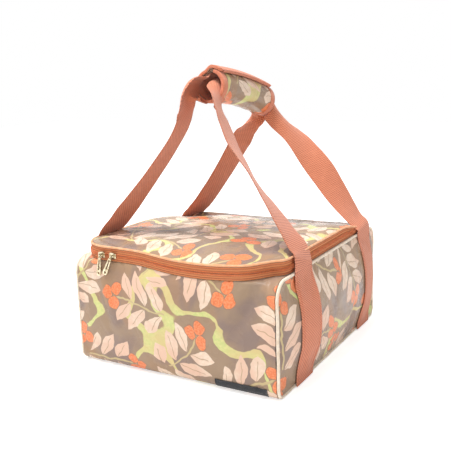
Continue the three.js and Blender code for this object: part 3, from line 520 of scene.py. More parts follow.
def zip_weave(name, light, dark):
    """Zip tape: a herringbone weave with furrows along it, its rib crests painted lighter as highlight and
    its furrows painted dark as shade.
    """
    f = Finish(name, 0.8, Specular_IOR_Level=0.25)
    furrow_pitch, rib_pitch, slant = 2.53, 1.0, 2.2
    x, y, _ = f.split(f.uv())
    side = abs(f.math("FRACT", y / furrow_pitch) - 0.5)
    furrow = f.step(side, 0.33, 0.46)
    rib = f.ridges(x + side * slant, rib_pitch)
    # Painted highlight: the rib crests are lightened towards the light tone.
    colour = f.mix(rib * 0.8, f.mix(0.45, dark, light), light)
    # Painted shade: the furrows, as at the coil's side, are darkened with the dark tone.
    colour = f.mix(furrow * 0.85, colour, dark)
    return f.finish(colour, rib * 0.5 - furrow, 0.0005, 0.6)


def plain_weave(name, colour, second, pitch, roughness=0.8):
    f = Finish(name, roughness, Specular_IOR_Level=0.25, Sheen_Weight=0.15)
    at = f.uv()
    threads = weave(f, at, pitch)
    blend = f.mix(f.step(f.noise(at, 0.15, 3), 0.3, 0.7), colour, second)
    # Painted shade: the gaps between the threads take the second tone, which is the darker one for every
    # weave here but the black tab.
    blend = f.mix((1 - threads) * 0.3, blend, second)
    return f.finish(blend, threads, 0.0004, 0.45)


def film(name):
    """The wipe-clean liner: pale, a little glossy, softly crumpled."""
    f = Finish(name, 0.32, Specular_IOR_Level=0.5)
    at = f.place()
    crumple = f.noise(at, 0.045, 4, 0.55)
    # Painted light and shade: the colour is lighter on the crumple's rises and darker in its hollows.
    colour = f.mix(f.step(crumple, 0.3, 0.7), "#d3d6d8", "#e4e6e7")
    return f.finish(colour, crumple, 0.004, 0.5, f.step(f.noise(at, 0.2, 3), -0.6, 1.9))


def aged_metal(name):
    """Zip hardware: pale antique brass, darker in its pits, with brushed scratches."""
    f = Finish(name, 0.3, Metallic=1.0)
    at = f.place()
    pits = f.noise(at, 0.55, 5, 0.6)
    brushed = f.noise(f.vector("MULTIPLY", at, (1.0, 1.0, 9.0)), 1.2, 2)
    colour = f.mix(f.step(pits, 0.35, 0.65), "#8c7a58", "#d8cdb0")
    colour = f.mix(f.step(brushed, 0.5, 0.8) * 0.5, colour, "#efe9d8")
    return f.finish(colour, brushed, 0.00008, 0.4, f.step(pits, -0.1, 1.7))


def moulded(name, colour, second, roughness, scale):
    f = Finish(name, roughness)
    grain = f.noise(f.place(), scale, 4)
    return f.finish(f.mix(f.step(grain, 0.3, 0.7), colour, second), grain, 0.0003, 0.4)


def pile(name, colour, second):
    """The closure tape's hooks or loops."""
    f = Finish(name, 0.95)
    inputs = {"Vector": f.uv(), "Scale": 0.9}
    dots = f.add("TexVoronoi", inputs, voronoi_dimensions="2D").outputs["Distance"]
    return f.finish(f.mix(f.step(dots, 0.1, 0.6), second, colour), dots, 0.0006, 0.8)


PRINT = printed_cloth("printed_cloth")
# The second colour of each ribbed webbing is the painted shade of its rib hollows.
WEBBING = ribbed_webbing("ribbed_webbing", "#de8d6a", "#a5573d", 2.2)
# The zip tape's dark colour is part of its mid tone and the painted shade of its furrows.
ZIP_TAPE = zip_weave("zip_tape_weave", "#ea9b69", "#8f4626")
GRIP_EDGE = ribbed_webbing("grip_edge_tape", "#e19070", "#c06c50", 0.9)
CREAM = plain_weave("cream_cord_cloth", "#f6e8d6", "#e2cdb4", 0.6)
# The lid cord's light peach is the zip tape's tone, lightened as a painted highlight along the zip's top
# edge.
LID_CORD = plain_weave("lid_cord_cloth", "#f3bd94", "#e29d6f", 0.6)
THREAD = plain_weave("coral_thread", "#dc7f60", "#c96c50", 0.3)
COIL = moulded("coil_nylon", "#e98e5d", "#cf6f40", 0.4, 0.8)
LINER = film("liner_film")
METAL = aged_metal("aged_metal")
TAB = plain_weave("black_tab_weave", "#1d1d20", "#2a2a2e", 0.5, 0.6)
BOARD = moulded("base_board_fibre", "#8f8f8a", "#7d7d78", 0.6, 0.9)
LOOP_PILE = pile("closure_loops", "#e39079", "#b8604c")
HOOK_PILE = pile("closure_hooks", "#e7a48e", "#c27561")


# Box panels


def wall_grid(side):
    """The outside of the front or back panel from base seam to mouth, and its run up the cloth."""
    rows = []
    for x in spread(PANEL_HALF, 121):
        edge = -(MOUTH_REAR + GAP)
        if side < 0:
            edge = MOUTH_FRONT - GAP + rounding(x, PANEL_HALF + GAP, MOUTH_RADIUS + GAP)
        radius = min(SHOULDER_RADIUS, edge + HALF_DEPTH - SEAM)
        top = HEIGHT - radius
        z = np.linspace(BOTTOM_RADIUS, top, 46)[1:-1]
        up = (z - BOTTOM_RADIUS) / (top - BOTTOM_RADIUS)
        bulge = FRONT_BULGE * (1 - (x / HALF_WIDTH) ** 2) * np.sin(math.pi * up)
        profile = np.concatenate([
            arc(BOTTOM_RADIUS - HALF_DEPTH, BOTTOM_RADIUS, BOTTOM_RADIUS, -math.pi / 2, -math.pi, 9),
            together(-HALF_DEPTH - bulge, z),
            arc(radius - HALF_DEPTH, top, radius, math.pi, math.pi / 2, 12),
            [[edge, HEIGHT]],
        ])
        rows.append(together(x, -side * profile[:, 0], profile[:, 1]))
    return np.array(rows), np.array([run_along(row) for row in rows])


def edge_hold(points):
    """Which points of a grid lie on its edges."""
    held = np.ones(points.shape[:2], bool)
    held[1:-1, 1:-1] = False
    return held


def padding(points, most):
    """Wall thickness: cloth at the seams, cloth and foam away from them."""
    rows, columns = (np.minimum(np.arange(n), np.arange(n)[::-1]) for n in points.shape[:2])
    return CLOTH + (most - CLOTH) * rise(np.minimum(rows[:, None], columns), 0, BORDER)


def wall_panel(name, side, node, foam, offset):
    points, run = wall_grid(side)
    uv = together(points[..., 0] + offset[0], run + offset[1])
    if side < 0:
        folds = hills(points[..., 0], points[..., 2], *FRONT_FOLDS)
        points = settle(points + together(0, folds, 0))
    else:
        points = sink(points)
    held = edge_hold(points)
    held[:, :8] = True
    points = relax(points, held, slack=0.006, pressure=0.6, cap=3.0)
    made = shell(name, points, padding(points, CLOTH + FOAM), (0, side, 0), PRINT, "bag", uv,
                 replaces=(node, foam), slot="print")
    return points


def side_panel(name, side, node, foam, offset):
    y = spread(SIDE_HALF, 121)[:, None]
    low = SIDE_LOW + rounding(y, SIDE_HALF, SIDE_LOW_RADIUS)
    high = SIDE_HIGH - rounding(y, SIDE_HALF, SIDE_HIGH_RADIUS)
    z = low + (high - low) * (spread(1, 61, 0.85) + 1) / 2
    middle = (SIDE_LOW + SIDE_HIGH) / 2
    bulge = (hump(y, 0, SIDE_HALF) * hump(z, middle, SIDE_HIGH - middle)) ** BULGE_ROUNDNESS
    folds = hills(y, z, (0.8, (side * 60, 70), (12, 60), 0.1), (-0.9, (-side * 20, 96), (40, 12), 0.2))
    points = sink(together(side * (HALF_WIDTH + CLOTH / 2 + SIDE_BULGE * bulge + folds), y, z))
    uv = together(side * y + offset[0], z + offset[1])
    points = relax(points, edge_hold(points), slack=0.008, pressure=0.6, cap=3.0)
    made = shell(name, points, padding(points, CLOTH + FOAM), (side, 0, 0), PRINT, "bag", uv,
                 replaces=(node, foam), slot="print")
    return points


def rounded(half, low, high, low_radius, high_radius, corner=9, side=16, end=16):
    """A rounded rectangle, counter-clockwise, evenly filled along its straight edges."""
    corners = [
        (low_radius - half, low + low_radius, low_radius),
        (half - low_radius, low + low_radius, low_radius),
        (half - high_radius, high - high_radius, high_radius),
        (high_radius - half, high - high_radius, high_radius),
    ]
    starts = [math.pi, 1.5 * math.pi, 0, 0.5 * math.pi]
    arcs = [arc(*place, start, start + math.pi / 2, corner) for place, start in zip(corners, starts)]
    points = []
    for k, bend in enumerate(arcs):
        t = np.linspace(0, 1, (end if k % 2 else side) + 1)[1:-1, None]
        points += [bend, bend[-1] + (arcs[(k + 1) % 4][0] - bend[-1]) * t]
    return np.concatenate(points)


def side_piping(name, side, node):
    out = PIPING + GAP
    y, z = rounded(SIDE_HALF + out, SIDE_LOW - out, SIDE_HIGH + out, SIDE_LOW_RADIUS + out,
                   SIDE_HIGH_RADIUS + out, 12, 60, 26).T
    wander = np.sin(np.arange(len(y)) * 0.55) * 0.18
    path = sink(together(side * (HALF_WIDTH + wander), y, z))
    tube(name, path, PIPING, 12, CREAM, "bag", looped=True, flat=(1, 0, 0), replaces=(node,), slot="cream")


def base_cloth():
    half_y = HALF_DEPTH - BOTTOM_RADIUS
    x = np.linspace(-PANEL_HALF, PANEL_HALF, 61)[:, None]
    y = np.linspace(-half_y, half_y, 61)
    points = together(x, y, hills(x, y, (0.25, (0, 0), (90, 110), 0)))
    uv = together(x + 500, y + 900)
    shell("base_cloth", points, CLOTH, (0, 0, -1), PRINT, "bag", uv, replaces=("base_panel",), slot="print")


front_surface = wall_panel("front_wall", -1, "front_panel", "foam_front", (410, 12))
wall_panel("back_wall", 1, "back_panel", "foam_back", (60, 300))
right_surface = side_panel("right_wall", 1, "right_panel", "foam_right", (730, 30))
left_surface = side_panel("left_wall", -1, "left_panel", "foam_left", (150, 620))
side_piping("piping_cord_right", 1, "piping_right")
side_piping("piping_cord_left", -1, "piping_left")
base_cloth()


# Inside


def mouth_ring(inset, rear, corner, rear_radius):
    return rounded(PANEL_HALF - inset, MOUTH_FRONT + inset, rear, corner, rear_radius)


def liner():
    """The wipe-clean tub: its outer skin from the floor to the mouth, then its inner skin down again."""
    bottom, skin, radius = 10.6, 1.0, 14.0
    rear_wall = HALF_DEPTH - CLOTH - FOAM - 2 * GAP
    rear_mouth = MOUTH_REAR - FOAM
    outer = [(0.0, 0.6, z) for z in np.linspace(bottom, HEIGHT, 22)]
    inner = [(skin, 0.8, z) for z in np.linspace(HEIGHT, bottom + skin, 22)]
    rings = []
    for depth, wavy, z in outer + inner:
        t = rise(z, 111, 138.7)
        corner = radius + (MOUTH_RADIUS - FOAM - radius) * t
        rear = rear_wall + (rear_mouth - rear_wall) * t
        ring = mouth_ring(FOAM + depth, rear - depth, corner - depth, radius - depth)
        wave = np.abs(0.5 * np.sin(ring[:, 0] * 0.11 + z * 0.13) * np.sin(ring[:, 1] * 0.09 - z * 0.07))
        wave = wave * math.sin(math.pi * (z - bottom) / (HEIGHT - bottom)) * wavy
        x, y = (ring - unit(ring) * wave[:, None]).T
        rings.append(settle(together(x, y, z)))
    rings = np.array(rings)
    rows, count = rings.shape[:2]
    floors = [face[::-1] for face in end_faces(rows, count)]
    faces = grid_faces(rows, count, looped=True).tolist() + floors
    piece("liner", rings, faces, LINER, "bag", uv=rings[..., :2],
          replaces=("liner_tub", "foam_base"), slot="liner")


def binding():
    """Folded tape round the mouth."""
    width, height = FOAM - GAP, 7.0
    rings = []
    for t in np.linspace(0, 2 * math.pi, 14, endpoint=False):
        out = 0.5 + 0.5 * math.cos(t) * (1 - 0.18 * math.sin(t) ** 2)
        up = 0.5 + 0.5 * math.sin(t) * (1 - 0.18 * math.cos(t) ** 2)
        inset = width * (1 - out)
        x, y = mouth_ring(inset, MOUTH_REAR - inset, MOUTH_RADIUS - inset, width + 2 - inset).T
        rings.append(settle(together(x, y, HEIGHT - height * (1 - up))))
    rows, count = len(rings), len(rings[0])
    faces = grid_faces(rows, count, looped=True).tolist() + joining_faces(rows, count)
    uv = together(np.arange(count) * 6.0, np.arange(rows)[:, None] * 2.0)
    piece("mouth_edge_tape", rings, faces, CREAM, "bag", uv=uv, replaces=("mouth_binding",), slot="cream")


liner()
binding()


# Zip


def zip_track(step, end):
    """Points along the zip at even steps, their outward directions and the run along it."""
    corner_x, corner_y = PANEL_HALF - MOUTH_RADIUS, MOUTH_FRONT + MOUTH_RADIUS
    leg, bend = end - corner_y, MOUTH_RADIUS * math.pi / 2
    total = 2 * (leg + bend + corner_x)
    run = np.linspace(0, total, int(total / step) + 1)
    side = np.where(run > total / 2, 1, -1)
    near = np.minimum(run, total - run)
    turn = np.clip((near - leg) / MOUTH_RADIUS, 0, math.pi / 2)
    x = corner_x + MOUTH_RADIUS * np.cos(turn) - np.maximum(near - leg - bend, 0)
    y = corner_y - MOUTH_RADIUS * np.sin(turn) + np.maximum(leg - near, 0)
    return together(side * x, y, 0), together(side * np.cos(turn), -np.sin(turn), 0), run


def lid_drop(y):
    """How far the lid's edge comes down towards the rear seam."""
    return LID_DROP * rise(y, MOUTH_REAR - LID_DROP_LENGTH, MOUTH_REAR)


def zip_tape(name, low, high, body, node, upper):
    places, outward, run = zip_track(3.0, TAPE_END)
    drop = lid_drop(places[:, 1])
    top = high - drop * (1 if upper else 0.5)
    foot = low - drop * (0.5 if upper else 0)
    across = np.linspace(0, 1, 9)
    ridge = 0.25 * np.exp(-(((across - (0.25 if upper else 0.75)) / 0.14) ** 2))
    points = places[:, None] + outward[:, None] * ridge[:, None]
    points[..., 2] = foot[:, None] + (top - foot)[:, None] * across
    uv = together(run[:, None], across * TAPE_WIDTH)
    shell(name, settle(points), TAPE, outward[:, None], ZIP_TAPE, body, uv, replaces=(node,), slot="zip")


def zip_teeth(name, middle, phase, body, node):
    """One side of the coil zip: a flattened spring of nylon wire sewn along the tape's edge."""
    pitch, wire, turns, half = 1.5, 0.31, 8, 1.45
    places, outward, run = zip_track(pitch / turns, ZIP_END)
    angle = 2 * math.pi * (run / pitch + phase)
    out = GAP / 2 + COIL_DEPTH / 2 + (COIL_DEPTH / 2 - wire) * np.cos(angle)
    height = middle - lid_drop(places[:, 1]) / 2 + (half - wire) * np.sin(angle)
    path = settle(places + outward * out[:, None] + together(0, 0, height))
    tube(name, path, wire, 5, COIL, body, flat=(0, 0.3, 1), replaces=(node,), slot="zip")


def zip_seams():
    """Topstitching where the cloth meets each tape."""
    places, outward, _ = zip_track(3.0, TAPE_END)
    seam = places + outward * 0.35
    lower = seam + [0, 0, ZIP_BOTTOM + 2.2]
    upper = seam + together(0, 0, LID_TAPE_TOP - 1.6 - lid_drop(places[:, 1]))
    stitches("zip_stitches_bag_side", settle(lower), outward, 3.0, "bag")
    stitches("zip_stitches_lid_side", settle(upper), outward, 3.0, "lid")


COIL_RISE = 1.15
zip_tape("zip_tape_bag_side", ZIP_BOTTOM, ZIP_BOTTOM + TAPE_WIDTH, "bag", "zip_tape_lower", False)
zip_tape("zip_tape_lid_side", ZIP_LINE + COIL_GAP / 2, LID_TAPE_TOP, "lid", "zip_tape_upper", True)
zip_teeth("zip_teeth_bag_side", ZIP_LINE - COIL_RISE, 0.0, "bag", "zip_coil_lower")
zip_teeth("zip_teeth_lid_side", ZIP_LINE + COIL_RISE, 0.5, "lid", "zip_coil_upper")
zip_seams()


# Lid


def lid_height(x, y):
    """The lid's top: its sides stay up on the zip, and its middle sinks towards the rear seam."""
    centre = (MOUTH_FRONT + MOUTH_REAR) / 2
    across = 1 - np.minimum(1, np.abs(x) / PANEL_HALF) ** 3
    along = 1 - np.minimum(1, np.abs(y - centre) / (MOUTH_REAR - centre)) ** 2.5
    edge = LID_EDGE - lid_drop(y)
    middle = LID_EDGE + 2 * along - LID_SAG * rise(y, MOUTH_REAR - LID_SAG_LENGTH, MOUTH_REAR)
    return edge + (middle - edge) * across


def lid_stuffing(y):
    """Foam in the lid: full in front, squashed flat towards the rear seam."""
    return 5 * (1 - 0.85 * rise(y, 40, 130))


def lid_grid(inset, count):
    """Places over the lid's outline, in columns from front to rear, and the height there."""
    half = PANEL_HALF - LID_INSET - inset
    x = spread(half, count)[:, None]
    low = MOUTH_FRONT + LID_INSET + inset + rounding(x, half, MOUTH_RADIUS - LID_INSET - inset)
    high = LID_REAR - inset - rounding(x, half, LID_REAR_RADIUS - inset)
    y = low + (high - low) * (spread(1, count, 0.85) + 1) / 2
    return x, y, lid_height(x, y) + hills(x, y, *LID_FOLDS)


def lid_cover():
    x, y, z = lid_grid(0, 101)
    points = settle(together(x, y, z))
    uv = together(x + 120, y + 1210)
    points = relax(points, edge_hold(points), slack=0.007, pressure=0.8, cap=4.0)
    full = padding(points, 1 + CLOTH) - CLOTH
    made = shell("lid_top", points, CLOTH + full * lid_stuffing(y), (0, 0, 1), PRINT, "lid", uv,
                 replaces=("lid_cover", "lid_foam"), slot="print")


def lid_lining():
    x, y, z = lid_grid(6.0, 71)
    z = z - CLOTH - 2 * GAP - 0.5 - lid_stuffing(y)
    z = z - 0.4 * np.abs(np.sin(x * 0.06 + y * 0.04) * np.sin(y * 0.07 - x * 0.03))
    shell("lid_inner_film", settle(together(x, y, z)), 0.8, (0, 0, -1), LINER, "lid", together(x, y),
          replaces=("lid_lining",), slot="liner")


def lid_piping():
    places, outward, _ = zip_track(2.5, TAPE_END)
    height = LID_TAPE_TOP + GAP + LID_PIPING - lid_drop(places[:, 1])
    path = settle(places - outward * TAPE / 2 + together(0, 0, height))
    # The cord's light peach is a painted highlight along the zip's top edge.
    tube("lid_piping_cord", path, LID_PIPING, 10, LID_CORD, "lid", replaces=("lid_piping",), slot="cream")


def hinge_strip():
    width = PANEL_HALF - LID_REAR_RADIUS
    x, t = np.linspace(-width, width, 91)[:, None], np.linspace(0, 1, 13)
    low = ZIP_BOTTOM - 0.6
    z = low + (lid_height(x, LID_REAR) + 0.2 - low) * t
    y = MOUTH_REAR + 0.6 * np.sin(math.pi * t) * (1 + 0.3 * np.sin(x * 0.12))
    uv = together(x + 60, z + 300)
    made = shell("lid_hinge_cloth", sink(together(x, y, z)), TAPE, (0, 1, 0), PRINT, None, uv,
                 replaces=("lid_hinge_strip",), slot="print")
    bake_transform(made)


lid_cover()
lid_lining()
lid_piping()
hinge_strip()


# Webbing


def web_columns():
    """Places across the webbing and its share of thickness there: full, but thin at the woven edges."""
    half = WEB_WIDTH / 2
    v = np.concatenate([[-half, 0.35 - half], np.linspace(1.2 - half, half - 1.2, 15), [half - 0.35, half]])
    return v, np.interp(half - np.abs(v), [0, 0.35, 1.2, half], [0.35, 0.75, 1, 1])


def surface_tree(points):
    faces = grid_faces(*points.shape[:2]).tolist()
    return BVHTree.FromPolygons([Vector(p) for p in points.reshape(-1, 3)], faces)


def first_met(tree, start, towards):
    """Where a ray from outside first meets a surface, if it does."""
    return tree.ray_cast(Vector(start), Vector(towards))[0]


def sewn_rows(side, end, surface):
    """Outside of the webbing that is sewn flat to the side panel, from its foot to its top."""
    tree = surface_tree(surface)
    v, share = web_columns()
    over = HALF_WIDTH + PIPING + GAP
    y, z = STRAP_PLACE[end] + v, np.linspace(1.0, HEIGHT - 0.5, 57)
    points = np.zeros((len(z), len(v), 3))
    for i, j in np.ndindex(points.shape[:2]):
        hit = first_met(tree, (side * OUTSIDE, y[j], z[i]), (-side, 0, 0))
        seat = abs(hit.x) + 0.4 if hit else over
        points[i, j] = (side * (max(seat, over) + WEB / 2), y[j], z[i])
    for _ in range(3):
        points[1:-1] = 0.25 * points[:-2] + 0.5 * points[1:-1] + 0.25 * points[2:]
    points[..., 0] += side * share * WEB / 2
    return points


def strap_stitches(name, side, rows):
    v, _ = web_columns()
    seam = WEB_WIDTH / 2 - SEAM_INSET
    for letter, place in (("a", -seam), ("b", seam)):
        line = rows[:, int(np.argmin(np.abs(v - place)))] + np.array([side * 0.12, 0, 0])
        stitches(f"{name}_stitches_{letter}", line, line * 0 + [side, 0, 0], 3.4, "bag")


def grip_arch(along):
    """How far the soft grip's middle stands above its ends."""
    return GRIP_ARCH * (1 - (along / (GRIP_LENGTH / 2)) ** 2)


def spline(controls, per_span=8):
    """A smooth line through control rows, each holding a place and further values."""
    c = np.asarray(controls, float)
    c = np.concatenate([2 * c[:1] - c[1:2], c, 2 * c[-1:] - c[-2:-1]])
    t = np.linspace(0, 1, per_span, endpoint=False)[:, None]
    rows = []
    for p0, p1, p2, p3 in zip(c, c[1:], c[2:], c[3:]):
        bend = (2 * p0 - 5 * p1 + 4 * p2 - p3) * t**2 + (3 * p1 - p0 - 3 * p2 + p3) * t**3
        rows.append(0.5 * (2 * p1 + (p2 - p0) * t + bend))
    return np.concatenate([*rows, c[-2:-1]])


# Each leg of the handle from its foot to the grip: x, y, z, twist in degrees and share of curl.
LEGS = {
    ("right", -1): [
        (153.1, -100, 146.1, 0, 0), (152.7, -99, 156, 0, 0), (147, -96.5, 167.7, 0, 0),
        (133.5, -95.9, 185.9, 5, 0), (119.7, -94.2, 203.8, 8, 0), (105.8, -92.5, 221.3, 14, 0),
        (91.7, -91.2, 238.3, 20, 0), (78.4, -89.4, 255.7, 21, 0), (65.2, -86.8, 272.8, 15, 0),
        (52.4, -83.3, 290.1, 11, 0.05), (41, -79, 307.9, 10, 0), (31, -73.5, 325.9, 10, 0),
        (23, -66, 341, 8, 0.2), (18, -54, 352, 2, 0.9), (16.5, -40, 356, 0, 1),
    ],
    ("right", 1): [
        (153.1, 117, 146.1, 0, 0), (151.5, 117, 154, 0, 0), (141.2, 115.9, 163.5, 0, 0),
        (129.1, 114.2, 179.1, 7, 0), (117.1, 112.5, 195.5, 15, 0), (105.5, 111.1, 212.3, 21, 0),
        (94, 110.1, 229.3, 25, 0), (81.6, 108.7, 245.7, 24, 0), (68.7, 107.3, 261.7, 19, 0),
        (56.1, 106.3, 278.1, 13, 0.05), (43.5, 105.3, 294.6, 6, 0.3), (28, 103, 314, 0, 0.8),
        (17.2, 100, 329.5, 0, 1), (16.85, 94.85, 332.8, 0, 1),
    ],
    ("left", -1): [
        (153.1, -100, 146.1, 0, 0), (151.5, -99.5, 156, -1, 0), (144.2, -98.8, 168, -2, 0),
        (129, -95.9, 184.6, -1, 0), (115.2, -93.5, 201.3, 0, 0), (101.5, -91.2, 217.3, -3, 0),
        (76, -86.9, 247.8, -7, 0), (53.2, -83.6, 276.6, -8, 0), (32.7, -82, 304, -9, 0),
        (23, -82, 322, -8, 0), (19, -84, 336, -5, 0.1), (17.5, -86, 349, -3, 0.5), (17, -80, 359, 0, 0.95),
        (16.85, -68, 361, 0, 1), (16.85, -54.85, 359.2, 0, 1),
    ],
    ("left", 1): [
        (153.1, 117, 146.1, 0, 0), (148, 117.3, 151, -5, 0), (136.4, 118, 160.8, -11, 0),
        (121.8, 117.9, 175.9, -15, 0), (103, 115.7, 198.2, -17, 0), (84.6, 112.3, 220.2, -18, 0),
        (67.7, 108.7, 241.5, -19, 0), (51.9, 104.9, 262.2, -20, 0), (43.7, 103.3, 273, -19, 0),
        (34, 102.3, 288.7, -14, 0), (26.5, 102.8, 302, -6, 0.3), (19, 103, 319, 0, 1),
        (16.85, 94.85, 332.8, 0, 1),
    ],
}


def leg_frames(word, end):
    """A leg's places, its direction towards the rear foot, its twist and its share of curl."""
    rows = spline(LEGS[(word, end)])
    return rows[:, :3], unit(np.gradient(rows[:, :3], axis=0)) * -end, rows[:, 3], rows[:, 4]


def gathered(centre, along, width, across):
    """Distances across the webbing, drawn together on the inner side of a sharp turn."""
    step = np.linalg.norm(np.gradient(centre, axis=0), axis=1, keepdims=True)
    turn = (np.gradient(along, axis=0) / step * width).sum(1)
    turn = np.convolve(np.pad(turn, 3, mode="edge"), np.ones(7) / 7, mode="valid")[:, None]
    limit = 0.8 / np.maximum(np.abs(turn), 1e-6)
    near = np.sign(across) * limit * np.tanh(np.abs(across) / limit)
    return np.where(across * turn > 0, near, across)


def handle_loop(word, side, surface):
    """One length of webbing: up the panel, curling to half a tube in the grip, and down again."""
    near, far = leg_frames(word, -1), leg_frames(word, 1)
    late = 32 if word == "right" else 0
    s = np.linspace(late - WEB_RUN / 2, WEB_RUN / 2, 17)[1:-1]
    inside = GRIP_CENTRE + GRIP_AXIS * s[:, None] + GRIP_UP * grip_arch(s)[:, None] + [CURL_RADIUS, 0, 0]
    tangent = unit(GRIP_AXIS - GRIP_UP * (2 * GRIP_ARCH * s / (GRIP_LENGTH / 2) ** 2)[:, None])
    middles = zip(near, (inside, tangent, 0 * s, 0 * s + 1), far)
    centre, along, twist, curl = (np.concatenate([a, b, c[::-1]]) for a, b, c in middles)
    width = unit(np.cross([-1.0, 0, 0], along))
    normal = np.cross(along, width)
    twist = np.radians(twist)[:, None]
    cos, sin = np.cos(twist), np.sin(twist)
    width, normal = width * cos + normal * sin, normal * cos - width * sin
    v, share = web_columns()
    total = np.maximum(0.01, curl * WEB_CURL)[:, None]
    radius = WEB_WIDTH / total
    angle = total * v / WEB_WIDTH
    across = gathered(centre, along, width, radius * np.sin(angle))[..., None]
    rolled_up = (radius - radius * np.cos(angle))[..., None]
    out = width[:, None] * np.sin(angle)[..., None] - normal[:, None] * np.cos(angle)[..., None]
    outer = centre[:, None] + width[:, None] * across + normal[:, None] * rolled_up
    outer = (outer + out * share[:, None] * WEB / 2) * [side, 1, 1]
    front, rear = sewn_rows(side, -1, surface), sewn_rows(side, 1, surface)
    strap_stitches(f"strap_{word}_front", side, front)
    strap_stitches(f"strap_{word}_rear", side, rear)
    outer = np.concatenate([front, outer[1:-1], rear[::-1, ::-1]])
    flat = front * 0 + [side, 0, 0]
    out = np.concatenate([flat, out[1:-1] * [side, 1, 1], flat])
    uv = together(run_along(outer[:, len(v) // 2])[:, None], v)
    made = shell(f"{word}_webbing", outer, share * WEB, out, WEBBING, None, uv, slot="webbing",
                 replaces=(f"strap_{word}_front", f"strap_{word}_rear", f"loop_{word}"))
    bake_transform(made)


handle_loop("right", 1, right_surface)
handle_loop("left", -1, left_surface)


# Grip


def grip_place(radius, degrees, along):
    """A place in the grip, from its distance to the axis, its angle round it and its run along it."""
    angle = np.radians(degrees)
    up = radius * np.sin(angle) + grip_arch(along)
    round_axis = together(radius * np.cos(angle), 0, 0) + GRIP_UP * up[..., None]
    return GRIP_CENTRE + round_axis + GRIP_AXIS * along[..., None]


def grip_rows(radius, degrees, along):
    """Places in the grip, and the direction away from its axis at each."""
    points = grip_place(radius, degrees, along)
    return points, grip_place(radius + 1, degrees, along) - points


def rolled_grid(start, stop, length, steps):
    """Angles round the grip and places along it."""
    along = np.linspace(-length / 2, length / 2, 41)
    return np.meshgrid(np.linspace(start, stop, steps), along, indexing="ij")


class Sheet:
    """A padded sheet of the grip, rolled round its axis from one angle in degrees to another."""

    def __init__(self, start, stop, full, flap):
        self.start, self.stop, self.full, self.flap = start, stop, full, flap

    def inner(self, degrees):
        """Distance of its inside from the axis. The flap climbs onto the pad."""
        lift = rise(degrees, 112, 84) * (PAD + 3 * GAP + 1.2) if self.flap else 0
        return 0 * degrees + PAD_INNER + lift

    def thickness(self, degrees, along):
        """Full in the middle and thin at the bound edges."""
        ends = rise(np.abs(along), GRIP_LENGTH / 2, GRIP_LENGTH / 2 - 9)
        to_edge = np.minimum(np.abs(degrees - self.start), np.abs(degrees - self.stop))
        edges = rise(to_edge, 0, 22)
        quilt = 0.35 * np.sin(along * 0.21) * np.sin(np.radians(degrees) * 3)
        return self.full * (0.55 + 0.45 * ends * (0.6 + 0.4 * edges)) + quilt * ends * edges

    def narrowed(self, degrees, along):
        """Places along the sheet, drawn in where the flap's corners are round."""
        near = np.clip((self.stop + 20 - degrees) / 20, 0, 1) if self.flap else 0
        return along * (1 - (1 - np.sqrt(1 - near**2 * 0.96)) * 6.5 / (GRIP_LENGTH / 2))


PAD_SHEET = Sheet(-90, 76, PAD + 0.8, False)
FLAP_SHEET = Sheet(270, FLAP_EDGE, FLAP + 0.9, True)


def blend_flap(made):
    foot = grip_place(np.array(PAD_INNER + 2), np.array(270.0), np.array(0.0))
    start = foot + np.array([1.0, 0, 0])
    end = foot + np.array([-7.0, 0, 0])
    tuple(start * MM)
    tuple(end * MM)
    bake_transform(made)


def grip_padding(name, sheet, body, node, steps, offset):
    degrees, along = rolled_grid(sheet.start, sheet.stop, GRIP_LENGTH, steps)
    thick = sheet.thickness(degrees, along)
    reach = sheet.narrowed(degrees, along)
    points, out = grip_rows(sheet.inner(degrees) + thick, degrees, reach)
    uv = together(reach + offset[0], np.radians(degrees) * 21 + offset[1])
    made = shell(name, points, thick, out, PRINT, body, uv, replaces=(node,), slot="print")
    if body is None:
        blend_flap(made)


def edge_tape(name, rows, out, body, node=None):
    """Folded tape over a padded edge, from rows of section points along it and their outward directions."""
    across = np.linspace(0, 12, rows.shape[1])
    uv = together(run_along(rows[:, rows.shape[1] // 2])[:, None], across)
    made = shell(name, rows, 0.9, out, GRIP_EDGE, body, uv, slot="webbing")
    if node:
        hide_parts(node)
    if body is None:
        blend_flap(made)


def fold_section():
    """From the padding's inside round its edge to its outside: share of the way, and how far over."""
    t = np.linspace(0, math.pi, 13)
    return (1 - np.cos(t)) / 2, np.sin(t) ** 0.7


def fold_radius(sheet, degrees, low_degrees, along, share):
    """Distance to the axis over a folded tape, from inside the padding to outside."""
    low = sheet.inner(degrees) + 0.3
    high = sheet.inner(degrees) + sheet.thickness(low_degrees, along) + 0.9
    return low + (high - low) * rise(share, 0, 0.5)


def end_band(name, end, sheet, body, node=None):
    """Tape round one end of the pad or flap."""
    degrees = np.linspace(sheet.start, sheet.stop, 61)[:, None]
    share, over = fold_section()
    half = GRIP_LENGTH / 2
    radius = fold_radius(sheet, degrees, degrees, end * (0 * degrees + half - 9), share)
    reach = half + np.where(share < 0.5, 1.4 * over, 1.4 - 11 * (share - 0.5) * 2)
    degrees, along = np.broadcast_arrays(degrees, end * sheet.narrowed(degrees, reach))
    rows, out = grip_rows(radius, degrees, along)
    edge_tape(name, rows, out + end * GRIP_AXIS * (1 - share)[:, None] * 3, body, node)


def long_band(name, sheet, body):
    """Tape along the free long edge of the flap."""
    share, over = fold_section()
    angles = sheet.stop + np.where(share < 0.5, -3.5 * over, -3.5 + 27 * (share - 0.5) * 2)
    along = np.linspace(-GRIP_LENGTH / 2, GRIP_LENGTH / 2, 61)[:, None]
    angles, along = np.broadcast_arrays(angles, along)
    radius = fold_radius(sheet, angles, 0 * angles + sheet.stop + 24, 0 * along, share)
    along = sheet.narrowed(angles, along)
    rows, out = grip_rows(radius, angles, along)
    away = grip_place(radius, angles - 1, along) - rows
    edge_tape(name, rows, out + away * (1 - share)[:, None] * 6, body)


